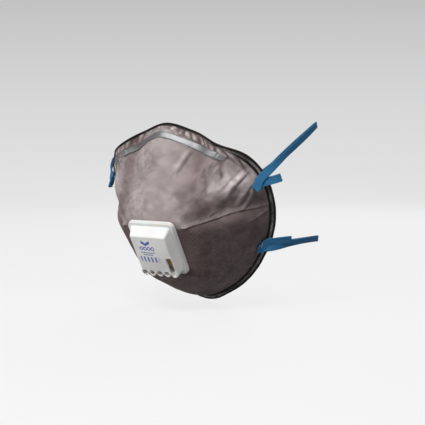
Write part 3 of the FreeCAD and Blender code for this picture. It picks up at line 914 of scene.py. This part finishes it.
# nose clip: a metal strip that follows the cup
noseClip = {
    "width": 4.7,
    "thick": 0.7,
    "gap": 0.2,
    "notchBack": 6.6,
    "notchWide": 0.5,
    "notchDeep": 0.36,
    "step": 0.35,
    "roundEnd": 2.5,
    "dark": (0.12, 0.122, 0.125, 1),
    "light": (0.29, 0.295, 0.3, 1),
}
clipTop, clipLow = 13, 9  # points across the upper and the lower face
clipPath = [
    (47.5, 0.885), (50, 0.882), (55, 0.877), (61, 0.87), (68, 0.862), (76, 0.853), (84, 0.845), (90, 0.842),
    (96, 0.845), (104, 0.853), (112, 0.862), (119, 0.87), (126.5, 0.877),
]


# distance along a row of points
def walkedAlong(points):
    return np.concatenate([[0], np.cumsum(np.linalg.norm(np.diff(points, axis=0), axis=1))])


# points of a curve through the given ones, evenly spaced
def smoothLine(points, step):
    points = np.array(points, float)
    padded = np.vstack([2 * points[0] - points[1], points, 2 * points[-1] - points[-2]])
    fine = []
    for i in range(len(points) - 1):
        p0, p1, p2, p3 = padded[i:i + 4]
        for t in np.linspace(0, 1, 24, endpoint=False):
            fine.append(0.5 * (2 * p1 + (p2 - p0) * t + (2 * p0 - 5 * p1 + 4 * p2 - p3) * t * t
                               + (3 * p1 - p0 - 3 * p2 + p3) * t**3))
    fine.append(points[-1])
    fine = np.array(fine)
    distance = walkedAlong(fine)
    marks = np.linspace(0, distance[-1], max(3, int(round(distance[-1] / step)) + 1))
    return np.stack([np.interp(marks, distance, fine[:, k]) for k in range(fine.shape[1])], -1), marks


# closed piece swept along centres; shape(i) gives offsets (across, up) of ring i
def sweep(name, centres, wides, normals, shape):
    rings = []
    for i in range(len(centres)):
        offsets = np.asarray(shape(i), float)
        rings.append(centres[i] + offsets[:, :1] * wides[i] + offsets[:, 1:] * normals[i])
    count = len(rings[0])
    points = np.concatenate(rings)
    faces = gridFaces(len(rings), count)
    faces.append(list(range(count))[::-1])
    faces.append([(len(rings) - 1) * count + j for j in range(count)])
    obj = makeMesh(name, points, faces)
    outward(obj)
    return obj


def clipMesh():
    angles = np.array([p[0] for p in clipPath], float)
    shares = np.array([p[1] for p in clipPath], float)
    theta = np.linspace(angles[0], angles[-1], 400)
    share = np.interp(theta, angles, shares)
    here, normal, down = cupFrame(theta, share)
    centre = here + normal * (noseClip["gap"] + noseClip["thick"] / 2)
    distance = walkedAlong(centre)
    total, end = distance[-1], noseClip["roundEnd"]
    marks = np.concatenate([
        np.linspace(0, end, 16, endpoint=False),
        np.arange(end, total - end, noseClip["step"]),
        np.linspace(total - end, total, 16),
    ])
    centre = np.stack([np.interp(marks, distance, centre[:, k]) for k in range(3)], -1)
    normal = unit(np.stack([np.interp(marks, distance, normal[:, k]) for k in range(3)], -1))
    down = unit(np.stack([np.interp(marks, distance, down[:, k]) for k in range(3)], -1))
    half = noseClip["width"] / 2

    def shape(i):
        fromEnd = min(marks[i], total - marks[i])
        wide = half * math.sqrt(max(0.02, 1 - max(0.0, 1 - fromEnd / half)**2))
        fromNotch = (fromEnd - noseClip["notchBack"]) / noseClip["notchWide"]
        notch = noseClip["notchDeep"] * math.exp(-fromNotch**2)
        top, low = noseClip["thick"] / 2, -noseClip["thick"] / 2
        upper = []
        for x in np.linspace(-1, 1, clipTop):
            edgeDrop = 0.16 * max(0.0, abs(x) - 0.86) / 0.14
            crown = 0.05 * (1 - x * x)
            dent = notch * (1 - max(0.0, abs(x) - 0.8) / 0.2)
            upper.append((x * wide, top - edgeDrop + crown - dent))
        lower = [(x * wide, low + 0.1 * max(0.0, abs(x) - 0.9) / 0.1) for x in np.linspace(1, -1, clipLow)]
        return np.array(upper + lower) * mm

    obj = sweep("noseClip", worn(centre), unitWorn(down), unitWorn(normal), shape)
    along = np.repeat(marks, clipTop + clipLow)
    across = np.concatenate([np.linspace(-1, 1, clipTop), np.linspace(1, -1, clipLow)]) * half
    across = np.tile(across, len(marks))
    setUv(obj, np.stack([along, across], -1) * mm)
    return obj


def unitWorn(vectors):
    return unit(worn(vectors))


def metalMaterial():
    material, tree, shader = startMaterial("brushedAluminium")
    uv = atUv(tree)
    lines = noiseAt(tree, turned(tree, uv, 0, (1.0, 26.0, 1.0)), 260.0, 4.0, 0.65)
    grain = useGroup(tree, mouldGrain, Vector=uv, Scale=700.0, Low=0.46, High=0.6)
    color = blendColor(tree, remap(tree, lines, 0.35, 0.65), noseClip["dark"], noseClip["light"])
    tree.links.new(color, shader.inputs["Base Color"])
    tree.links.new(grain["Roughness"], shader.inputs["Roughness"])
    setShader(shader, Metallic=1.0)
    addBump(tree, shader, lines, 0.25, 0.00006)
    return material


clip = clipMesh()
clip.data.materials.append(metalMaterial())
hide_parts("nose_clip")
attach(clip, "mask")
print("mask: nose clip")


# nose foam
noseFoam = {
    "width": 11.0,
    "thick": 4.6,
    "depth": 2.85,
    "gap": 0.3,
    "along": 0.80,
    "endDeg": 50.0,
    "roundEnd": 1.6,
    "uneven": 0.00012,
    "dark": (0.012, 0.012, 0.013, 1),
    "light": (0.06, 0.06, 0.064, 1),
    "dust": (0.085, 0.085, 0.09, 1),
}


def foamMesh():
    theta = np.linspace(noseFoam["endDeg"], 180 - noseFoam["endDeg"], 150)
    depth = noseFoam["depth"] + noseFoam["gap"] + noseFoam["thick"] / 2
    here, normal, down = cupFrame(theta, np.full_like(theta, noseFoam["along"]))
    centre = here - normal * depth
    distance = walkedAlong(centre)
    halfWide, halfThick = noseFoam["width"] / 2, noseFoam["thick"] / 2

    def shape(i):
        fromEnd = min(distance[i], distance[-1] - distance[i])
        close = math.sqrt(max(0.03, 1 - max(0.0, 1 - fromEnd / noseFoam["roundEnd"])**2))
        ring = []
        for a in np.linspace(0, 2 * math.pi, 40, endpoint=False):
            c, s = math.cos(a), math.sin(a)
            power = 0.35 if s > 0 else 0.55
            x = math.copysign(abs(c)**power, c) * (halfWide - 0.5 * (1 - close))
            y = math.copysign(abs(s)**power, s) * halfThick * (0.6 + 0.4 * close)
            ring.append((x, y))
        return np.array(ring) * mm

    obj = sweep("noseFoam", worn(centre), unitWorn(down), unitWorn(normal), shape)
    work = bmesh.new()
    work.from_mesh(obj.data)
    for vert in work.verts:
        vert.co += noseFoam["uneven"] * noise.noise(vert.co / 0.004) * Vector((1, 1, 1))
    work.to_mesh(obj.data)
    work.free()
    return obj


def foamMaterial():
    material, tree, shader = startMaterial("noseFoam")
    where = atObject(tree)
    cells = putNode(tree, "ShaderNodeTexVoronoi")
    cells.inputs["Scale"].default_value = 1600.0
    feed(tree, where, cells.inputs["Vector"])
    pores = remap(tree, cells.outputs["Distance"], 0.1, 0.6)
    slow = noiseAt(tree, where, 160.0, 3.0, 0.6)
    color = blendColor(tree, pores, noseFoam["dark"], noseFoam["light"])
    color = blendColor(tree, math2(tree, "MULTIPLY", slow, 0.4), color, noseFoam["dust"])
    tree.links.new(color, shader.inputs["Base Color"])
    setShader(shader, Roughness=0.95, Sheen_Weight=0.15)
    addBump(tree, shader, pores, 0.8, 0.0002)
    return material


foam = foamMesh()
foam.data.materials.append(foamMaterial())
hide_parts("nose_foam")
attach(foam, "mask")
print("mask: nose foam")


# valve: moulded white plastic, amber flap
valve = {
    "voxel": 0.22,
    "smooth": 9,
    "tint": (0.86, 0.855, 0.84, 1.0),
    "flapTint": (0.93, 0.6, 0.2, 1.0),
    "ink": (0.02, 0.075, 0.36, 1.0),
}

# airflow marks on the valve's front: places and sizes in millimetres
airMarks = {
    "middle": -3.0,
    "arrow": {"up": 7.7, "halfThick": 1.2, "halfWide": 3.9, "slope": 0.55},
    "pitch": 3.4,
    "rings": {"up": 4.4, "radius": 1.25, "halfLine": 0.4, "halfWide": 6.8},
    "lines": ({"up": 0.9, "halfWide": 6.4}, {"up": -0.9, "halfWide": 4.6}),
    "halfLine": 0.36,
    "bars": {"up": -5.2, "halfTall": 2.4, "halfThick": 0.72, "halfWide": 8.5},
    "frontFrom": (9.3, 9.6),
}


# valve frame in millimetres (right, up the land, out) to the mask's place in metres
def onLand(points):
    points = np.asarray(points, float)
    s, c = math.sin(landLean), math.cos(landLean)
    x, up, out = points[..., 0], points[..., 1], points[..., 2]
    return worn(stackPoints(x, cup["portUp"] + up * c - out * s, cup["landOut"] + up * s + out * c))


def nodeObject(name):
    for obj in scene.objects:
        if obj.get("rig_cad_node") == name or obj.name == name:
            return obj


# the CAD shape with the soft edges of a moulded part
def mouldedCopy(node, name):
    source = nodeObject(node)
    obj = bpy.data.objects.new(name, source.data.copy())
    obj.data.name = name
    obj.data.materials.clear()
    scene.collection.objects.link(obj)
    remesh = obj.modifiers.new("remesh", "REMESH")
    remesh.mode = "VOXEL"
    remesh.voxel_size = valve["voxel"] * mm
    remesh.use_smooth_shade = True
    smooth = obj.modifiers.new("smooth", "SMOOTH")
    smooth.factor = 0.5
    smooth.iterations = valve["smooth"]
    applyAll(obj)
    return obj


def applyAll(obj):
    bpy.context.view_layer.update()
    graph = bpy.context.evaluated_depsgraph_get()
    done = bpy.data.meshes.new_from_object(obj.evaluated_get(graph))
    obj.modifiers.clear()
    old = obj.data
    obj.data = done
    bpy.data.meshes.remove(old)


def plasticMaterial(name, tint, low, high, subsurface=0.0):
    material, tree, shader = startMaterial(name)
    where = atObject(tree)
    grain = useGroup(tree, mouldGrain, Vector=where, Scale=2600.0, Low=low, High=high)
    dim = tuple(0.93 * v for v in tint[:3]) + (1.0,)
    color = blendColor(tree, remap(tree, grain["Uneven"], 0.35, 0.65), dim, tint)
    tree.links.new(color, shader.inputs["Base Color"])
    tree.links.new(grain["Roughness"], shader.inputs["Roughness"])
    setShader(shader, Subsurface_Weight=subsurface, Subsurface_Scale=0.0015)
    addBump(tree, shader, grain["Height"], 0.15, 0.00005)
    return material


whitePlastic = plasticMaterial("whitePlastic", valve["tint"], 0.38, 0.52, 0.18)
amberRubber = plasticMaterial("amberRubber", valve["flapTint"], 0.3, 0.42, 0.2)


# plain airflow marks: a broad arrowhead, rings, two lines and a row of bars
def printMask(tree):
    where = atObject(tree)
    base = Vector(onLand((0, 0, 0)))

    def measured(direction):
        axis = Vector(onLand(direction)) - base
        node = putNode(tree, "ShaderNodeVectorMath", operation="DOT_PRODUCT")
        tree.links.new(where, node.inputs[0])
        node.inputs[1].default_value = axis.normalized()
        return math2(tree, "SUBTRACT", math2(tree, "DIVIDE", node.outputs["Value"], mm),
                     axis.normalized().dot(base) / mm)

    def inside(value, half, soft=0.12):
        return remap(tree, value, half + soft, half - soft)

    def both(*masks):
        total = masks[0]
        for mask in masks[1:]:
            total = math2(tree, "MULTIPLY", total, mask)
        return total

    def away(value, centre):
        return math2(tree, "ABSOLUTE", math2(tree, "SUBTRACT", value, centre))

    x = math2(tree, "SUBTRACT", measured((1, 0, 0)), airMarks["middle"])
    up = measured((0, 1, 0))
    spread = math2(tree, "ABSOLUTE", x)
    arrow, rings, bars = airMarks["arrow"], airMarks["rings"], airMarks["bars"]
    slope = math2(tree, "ADD", up, math2(tree, "MULTIPLY", spread, -arrow["slope"]))
    arrowMask = both(inside(away(slope, arrow["up"]), arrow["halfThick"]),
                     inside(spread, arrow["halfWide"]))
    cell = math2(tree, "DIVIDE", math2(tree, "ADD", x, 20.0), airMarks["pitch"])
    cell = math2(tree, "SUBTRACT", math2(tree, "FRACT", cell), 0.5)
    cellX = math2(tree, "MULTIPLY", cell, airMarks["pitch"])
    ringX = math2(tree, "MULTIPLY", cellX, cellX)
    ringUp = away(up, rings["up"])
    ring = math2(tree, "SQRT", math2(tree, "ADD", ringX, math2(tree, "MULTIPLY", ringUp, ringUp)))
    ringMask = both(inside(away(ring, rings["radius"]), rings["halfLine"]),
                    inside(spread, rings["halfWide"]))
    lineMasks = [both(inside(away(up, line["up"]), airMarks["halfLine"]), inside(spread, line["halfWide"]))
                 for line in airMarks["lines"]]
    barMask = both(inside(away(cellX, 0.0), bars["halfThick"]),
                   inside(away(up, bars["up"]), bars["halfTall"]),
                   inside(spread, bars["halfWide"]))
    upperMarks = math2(tree, "MAXIMUM", arrowMask, ringMask)
    lowerMarks = math2(tree, "MAXIMUM", math2(tree, "MAXIMUM", *lineMasks), barMask)
    front = remap(tree, measured((0, 0, 1)), *airMarks["frontFrom"])
    return math2(tree, "MULTIPLY", math2(tree, "MAXIMUM", upperMarks, lowerMarks), front)


def printedMaterial():
    material = plasticMaterial("printedPlastic", valve["tint"], 0.38, 0.52, 0.18)
    tree = material.node_tree
    shader = tree.nodes["Principled BSDF"]
    plain = shader.inputs["Base Color"].links[0].from_socket
    rubbed = noiseAt(tree, atObject(tree), 900.0, 3.0, 0.6)
    ink = math2(tree, "MULTIPLY", printMask(tree), remap(tree, rubbed, 0.3, 0.45, 0.75, 1.0))
    tree.links.new(blendColor(tree, ink, plain, valve["ink"]), shader.inputs["Base Color"])
    return material


valveCover = mouldedCopy("valve_cover", "valveCover")
valveCover.data.materials.append(printedMaterial())
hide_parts("valve_cover")
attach(valveCover, "mask")
print("mask: valve cover")


def dress(node, material):
    obj = nodeObject(node)
    obj.data.materials.clear()
    obj.data.materials.append(material)
    obj.data.polygons.foreach_set("material_index", [0] * len(obj.data.polygons))


def hiddenWebMaterial(name, light, dark):
    material, tree, shader = startMaterial(name)
    fibres = useGroup(tree, looseFibres, Vector=atObject(tree), Light=light, Dark=dark,
                      Patch=0.4, Contrast=0.8)
    tree.links.new(fibres["Color"], shader.inputs["Base Color"])
    setShader(shader, Roughness=0.95)
    addBump(tree, shader, fibres["Height"], 0.5, 0.0002)
    return material


dress("valve_seat", whitePlastic)
dress("valve_flap", amberRubber)

# the two webs between cover and shell: names, slot, depth, thickness, light and dark colour
hiddenWebs = [
    ("carbonLayer", "carbon_layer", "carbon_web", 0.55, 0.6, (0.05, 0.05, 0.05, 1), (0.01, 0.01, 0.01, 1)),
    ("filterLayer", "filter_layer", "filter_web", 1.25, 0.5, (0.8, 0.8, 0.78, 1), (0.6, 0.6, 0.58, 1)),
]
for name, node, finish, depth, thick, light, dark in hiddenWebs:
    layer = webMesh(name, depth, depth + thick, None, innerShell["step"], innerShell["step"],
                    1.0, innerShell["rows"])
    layer.data.materials.append(hiddenWebMaterial(name, light, dark))
    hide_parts(node)
    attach(layer, "mask")


# straps: the elastic, its folds at the staples and its loops
band = {
    "width": 6.0,
    "thick": 0.9,
    "drawn": 0.2,
    "ribs": 5,
    "ribHeight": 0.02,
    "step": 0.8,
    "fineStep": 0.35,
    # painted shade: darker colour for the grooves between the ribs
    "paintedGrooveShade": (0.006, 0.06, 0.15, 1),
    "ribTint": (0.045, 0.23, 0.46, 1),
    "upperRoll": 34.0,
    "lowerRoll": 10.0,
    "lowerShift": 0.9,
    "foldOut": 2.1,
    "foldLead": 0.8,
    "hingeBlend": 3,
}

# which way each band's width points, then the hinges and the lines they follow, as worn
upperWide = (-0.586, -0.348, 0.729)
upperTailWide = (-0.292, -0.124, 0.948)
lowerFoldWide = (-0.187, -0.047, 0.978)
lowerWide = (0.06, -0.34, 0.94)
lowerTailWide = (0.12, -0.42, 0.9)
upperExitLeft = (-0.25, -0.50, 0.83)
turnX = 60.0
turnY = 32.0
upperHinge = (77.4, -3.0, 39.2)
upperHingeLeft = (73.5, -3.0, 39.2)
lowerHinge = (72.0, 18.6, -20.8)


def fromHinge(hinge, offsets):
    return np.array(hinge) + np.array(offsets, float)


upperStub = fromHinge(upperHinge, [(-9, -5.6, -10.5), (-4.6, -3.3, -5.5), (0, 0, 0)])
upperStubLeft = fromHinge(upperHingeLeft, [(-5.6, -6.4, -10.5), (-2.3, -4.8, -5.5), (0, 0, 0)])
upperTail = fromHinge(upperHinge, [
    (-8.4, -3.7, -13.2), (-3.9, -1.6, -11.5), (-0.1, 1.9, -10.1), (2.2, 5.5, -8.9),
])
upperLoop = fromHinge(upperHinge, [
    (0, 0, 0), (3.4, 4.1, 4.8), (7.2, 12, 11.8), (9.5, 20.1, 17.4), (11, 29.6, 23),
    (10.8, 39.7, 27.4), (8.3, 49.1, 29.7), (2.4, 58.4, 29.1), (-6.8, 65, 24.1), (-18, 70, 17),
    (-33.9, 76.3, 6.6), (-51.2, 84.1, -4.3), (-68.7, 89.6, -11.4),
])
upperLoopLeft = fromHinge(upperHingeLeft, [
    (0, 0, 0), (1.8, 4.5, 2.3), (3.5, 11, 1.8), (4, 19, -1.2), (2.5, 30, -5.2), (-2.5, 43, -8.7),
    (-11.5, 56, -11.2), (-24.5, 69, -12.2), (-40.5, 80, -12.4), (-59.5, 88.3, -12.2),
])
lowerStub = fromHinge(lowerHinge, [(-8.4, -6.3, -1.8), (-4.4, -3.9, -1.1), (0, 0, 0)])
lowerTail = fromHinge(lowerHinge, [(-7.7, -7.7, 2.4), (-3.3, -5, 3.1), (1.4, -1.3, 3.8), (5.8, 3.5, 4.3)])
lowerLoop = fromHinge(lowerHinge, [
    (0, 0, 0), (2.9, 3.8, 1), (5.4, 8.7, 1.6), (8, 16.6, 2.2), (9.7, 26.5, 2.5), (9.7, 36.8, 2.3),
    (6.8, 45.8, 1.6), (1, 52.6, 0.4), (-10.4, 57.9, -1.9), (-25, 63.3, -4.9), (-42.5, 67.9, -8.1),
    (-61.9, 71.3, -9.7),
])
folds = {"upper": (24.6, 0.90), "lower": (-19.5, 0.955)}
layers = {"upper": (2.65, 0.9), "lower": (1.8, 3.55)}


def mixWide(a, b, k):
    k = ramp(np.asarray(k, float), 0, 1)[..., None]
    return unit(np.array(a, float) * (1 - k) + np.array(b, float) * k)


def flipX(points):
    return np.array(points, float) * np.array([-1, 1, 1])


def foldFoot(which, layer):
    theta, share = folds[which]
    here, normal = cupFrame(np.array([theta]), np.array([share]))[:2]
    return worn(here + normal * layer)[0] / mm, unitWorn(normal)[0]


# ribbed cross-section, across and up, in millimetres
def bandSection():
    half, top = band["width"] / 2, band["thick"] / 2
    xs = np.linspace(-1, 1, 4 * band["ribs"] + 1)
    edgeFall = 0.28 * np.clip((np.abs(xs) - 0.93) / 0.07, 0, 1)**2
    rib = band["ribHeight"] * np.cos(xs * math.pi * band["ribs"])
    height = top - band["ribHeight"] - edgeFall + rib
    upper = np.stack([xs * half, height], -1)
    lower = np.stack([xs[::-1] * half, -height[::-1]], -1)
    return np.concatenate([upper, lower])


def bandMesh(name, points, wides, step=None, roll=0.0):
    joined = np.concatenate([points, wides], axis=1)
    line, marks = smoothLine(joined, step or band["step"])
    centre, wide = line[:, :3], line[:, 3:]
    tangent = unit(np.gradient(centre, axis=0))
    wide = unit(wide - tangent * (wide * tangent).sum(-1, keepdims=True))
    thick = unit(np.cross(tangent, wide))
    back = 1 - ramp(marks, 80.0, 130.0)
    twist = math.radians(roll) * ramp(marks, 8.0, 36.0) * back
    turnedWide = wide * np.cos(twist)[:, None] + thick * np.sin(twist)[:, None]
    wide, thick = turnedWide, unit(np.cross(tangent, turnedWide))
    ring = bandSection() * mm
    narrow = 1 - (band["drawn"] if roll else 0.0) * ramp(marks, 6.0, 34.0) * back
    obj = sweep(name, centre * mm, wide, thick, lambda i: ring * np.array([narrow[i], 1.0]))
    along = np.repeat(marks, len(ring))
    setUv(obj, np.stack([along * mm, np.tile(ring[:, 0], len(marks))], -1))
    return obj


def elasticMaterial():
    material, tree, shader = startMaterial("blueElastic")
    uv = atUv(tree)
    parts = putNode(tree, "ShaderNodeSeparateXYZ")
    tree.links.new(uv, parts.inputs[0])
    pitch = band["width"] * mm / band["ribs"]
    # painted shade: the colour darkens into the grooves between the ribs
    shadedValley = math2(tree, "COSINE", math2(tree, "MULTIPLY", parts.outputs[1], 2 * math.pi / pitch))
    shadedValley = remap(tree, shadedValley, -1.0, 0.6)
    threads = noiseAt(tree, turned(tree, uv, 0, (1.0, 0.4, 1.0)), 900.0, 2.0, 0.5)
    streak = noiseAt(tree, turned(tree, uv, 0, (0.05, 1.0, 1.0)), 1000.0, 2.0, 0.5)
    level = math2(tree, "ADD", math2(tree, "MULTIPLY", shadedValley, 0.5),
                  math2(tree, "ADD", math2(tree, "MULTIPLY", threads, 0.1),
                        math2(tree, "MULTIPLY", streak, 0.4)))
    color = blendColor(tree, level, band["paintedGrooveShade"], band["ribTint"])
    tree.links.new(color, shader.inputs["Base Color"])
    setShader(shader, Roughness=0.75, Sheen_Weight=0.03)
    shader.inputs["Specular IOR Level"].default_value = 0.3
    return material


elastic = elasticMaterial()


# one elastic from its right-hand fold round the head to the left-hand fold
def makeBand(name, which, stubs, loops, loopWides, node, roll):
    stubRight, stubLeft = stubs
    loopRight, loopLeft = loops
    wideRight, wideLeft = loopWides
    foot = foldFoot(which, layers[which][0])[0]
    if which == "lower":
        foot = foot + band["lowerShift"] * unit(stubRight[0] - foot)
    upright = np.array([0, 0, 1.0])
    rightLoopWides = mixWide(upright, wideRight, loopRight[:, 0] / turnX)
    leftLoop = flipX(loopLeft[::-1])
    leftWides = mixWide(flipX(wideLeft), upright, (loopLeft[::-1][:, 1] - loopLeft[0][1]) / turnY)
    leftStub = flipX(stubLeft[:-1][::-1])
    points = np.concatenate([[foot], stubRight[:-1], loopRight, leftLoop, leftStub, [flipX(foot)]])
    fromWide = np.array(upperWide if which == "upper" else lowerFoldWide)
    count = len(stubLeft)
    rightStubWides = mixWide(fromWide, wideRight, np.arange(count) / count)
    leftStubWides = flipX(mixWide(fromWide, wideLeft, np.arange(count)[::-1] / count))
    wides = np.concatenate([rightStubWides, rightLoopWides, leftWides, leftStubWides])
    obj = bandMesh(name, points, wides, roll=roll)
    obj.data.materials.append(elastic)
    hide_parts(node)
    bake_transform(obj)


makeBand("upperHeadband", "upper", (upperStub, upperStubLeft), (upperLoop, upperLoopLeft),
         (upperWide, upperExitLeft), "headband_upper", band["upperRoll"])
makeBand("lowerHeadband", "lower", (lowerStub, lowerStub), (lowerLoop, lowerLoop),
         (lowerWide, lowerWide), "headband_lower", band["lowerRoll"])
print("mask: headbands")


# the free end: round the fold and out past the staple
def makeTail(name, which, stub, tail, stubWide, tailWide, node, mirror):
    inFoot = foldFoot(which, layers[which][0])[0]
    outFoot = foldFoot(which, layers[which][1])[0]
    toward = unit(unit(stub[0] - inFoot) + unit(tail[0] - outFoot))
    middle = (inFoot + outFoot) / 2 - toward * band["foldOut"]
    radius = np.linalg.norm(inFoot - outFoot) / 2
    up = unit(inFoot - outFoot)
    turn = []
    for a in np.radians([90, 60, 30, 0, -30, -60, -90]):
        turn.append(middle - toward * (math.cos(a) * radius) + up * (math.sin(a) * radius))
    turn = np.array(turn)
    lead = inFoot + toward * band["foldLead"]
    points = np.concatenate([[lead], turn, tail])
    wides = np.concatenate([[stubWide] * 5, mixWide(stubWide, tailWide, np.array([0.3, 0.6, 0.8])),
                            [tailWide] * len(tail)])
    if mirror:
        points, wides = flipX(points), flipX(wides)
    obj = bandMesh(name, points, wides, band["fineStep"])
    obj.data.materials.append(elastic)
    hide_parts(node)
    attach(obj, "mask")


for mirror, side in ((False, "right"), (True, "left")):
    stub = upperStubLeft if mirror else upperStub
    makeTail("upperTail_" + side, "upper", stub, upperTail, upperWide, upperTailWide,
             "tail_upper_" + side, mirror)
    makeTail("lowerTail_" + side, "lower", lowerStub, lowerTail, lowerFoldWide, lowerTailWide,
             "tail_lower_" + side, mirror)
print("mask: strap ends")

stapleWire = {"tint": (0.62, 0.62, 0.63, 1.0), "smoothest": 0.22, "roughest": 0.34}
steel = plasticMaterial("stapleSteel", stapleWire["tint"], stapleWire["smoothest"], stapleWire["roughest"])
steel.node_tree.nodes["Principled BSDF"].inputs["Metallic"].default_value = 1.0
for name in ("upper_right", "upper_left", "lower_right", "lower_left"):
    dress("staple_" + name, steel)


# floor and backdrop in one sheet, its shade by distance and height
studio = {
    "floorDrop": 0.002,
    "halfWide": 14.0,
    "near": 0.912,
    "far": 0.585,
    "floorShade": 0.2,
    "coveStart": 1.2,
    "coveRadius": 1.0,
    "wallTop": 4.0,
    "shadeByRun": 0.3,
    "shadeByRise": 0.7,
    "shadeTop": 0.62,
    "shadePower": 1.4,
    "seenShare": 0.88,
    "ambient": 0.07,
    "glossAmbient": 0.4,
    "seenAmbient": 0.8,
}

# name, azimuth, elevation, distance, size, power
lamps = [
    ("key", 14, 48, 0.75, (0.34, 0.34), 4.8),
    ("fill", -34, -3, 1.2, (0.6, 0.2), 10.0),
    ("side", 80, 12, 1.2, (0.6, 0.5), 1.4),
    ("back", 195, 32, 1.3, (0.8, 0.6), 8.0),
]


def makeStage():
    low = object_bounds()[0][2] - studio["floorDrop"]
    start, radius = studio["coveStart"], studio["coveRadius"]
    outline = [(-studio["halfWide"], 0.0), (start, 0.0)]
    for a in np.radians(np.arange(6, 91, 6)):
        outline.append((start + radius * math.sin(a), radius - radius * math.cos(a)))
    outline.append((start + radius, studio["wallTop"]))
    turn = math.radians(camera["azimuth"])
    along = Vector((-math.sin(turn), math.cos(turn), 0))
    across = Vector((along.y, -along.x, 0))
    points = []
    for run, rise in outline:
        for side in (-studio["halfWide"], studio["halfWide"]):
            points.append(along * run + across * side + Vector((0, 0, low + rise)))
    obj = makeMesh("backdrop", points, gridFaces(len(outline), 2, wrap=False))
    material, tree, shader = startMaterial("backdrop")
    where = putNode(tree, "ShaderNodeSeparateXYZ")
    spot = atObject(tree)
    tree.links.new(spot, where.inputs[0])
    run = putNode(tree, "ShaderNodeVectorMath", operation="DOT_PRODUCT")
    tree.links.new(spot, run.inputs[0])
    run.inputs[1].default_value = along
    level = math2(tree, "ADD", remap(tree, run.outputs["Value"], -0.05, start, 0.0, studio["shadeByRun"]),
                  remap(tree, where.outputs[2], low, low + studio["shadeTop"], 0.0, studio["shadeByRise"]))
    level = math2(tree, "POWER", level, studio["shadePower"])
    color = blendColor(tree, level, (studio["near"],) * 3 + (1,), (studio["far"],) * 3 + (1,))
    path = putNode(tree, "ShaderNodeLightPath")
    seen = math2(tree, "MAXIMUM", path.outputs["Is Camera Ray"], path.outputs["Is Transmission Ray"])
    seen = math2(tree, "MAXIMUM", seen, path.outputs["Is Glossy Ray"])
    glow = putNode(tree, "ShaderNodeEmission")
    tree.links.new(color, glow.inputs["Color"])
    mix = putNode(tree, "ShaderNodeMixShader")
    tree.links.new(math2(tree, "MULTIPLY", seen, studio["seenShare"]), mix.inputs[0])
    tree.links.new(shader.outputs[0], mix.inputs[1])
    tree.links.new(glow.outputs[0], mix.inputs[2])
    shade = studio["floorShade"]
    tone = blendColor(tree, seen, (shade, shade, shade, 1), (0.9, 0.9, 0.9, 1))
    tree.links.new(tone, shader.inputs["Base Color"])
    setShader(shader, Roughness=0.9)
    tree.links.new(mix.outputs[0], tree.nodes["Material Output"].inputs["Surface"])
    obj.data.materials.append(material)


def softLamp(name, azimuth, elevation, distance, size, power):
    az, el = math.radians(azimuth), math.radians(elevation)
    toward = Vector((math.sin(az) * math.cos(el), -math.cos(az) * math.cos(el), math.sin(el)))
    data = bpy.data.lights.new(name, "AREA")
    data.shape = "RECTANGLE"
    data.size, data.size_y = size
    data.energy = power
    obj = bpy.data.objects.new(name, data)
    obj.location = toward * distance
    obj.rotation_euler = (-toward).to_track_quat("-Z", "Y").to_euler()
    scene.collection.objects.link(obj)


def makeLight():
    world = bpy.data.worlds.new("studio")
    world.use_nodes = True
    tree = world.node_tree
    path = putNode(tree, "ShaderNodeLightPath")
    glossy = math2(tree, "MAXIMUM", path.outputs["Is Glossy Ray"], path.outputs["Is Transmission Ray"])
    strength = remap(tree, glossy, 0.0, 1.0, studio["ambient"], studio["glossAmbient"])
    seen = math2(tree, "MULTIPLY", path.outputs["Is Camera Ray"], studio["seenAmbient"])
    strength = math2(tree, "MAXIMUM", strength, seen)
    background = tree.nodes["Background"]
    background.inputs["Color"].default_value = (1, 1, 1, 1)
    tree.links.new(strength, background.inputs["Strength"])
    scene.world = world
    for lamp in lamps:
        softLamp(*lamp)


makeStage()
makeLight()
print("mask: studio")
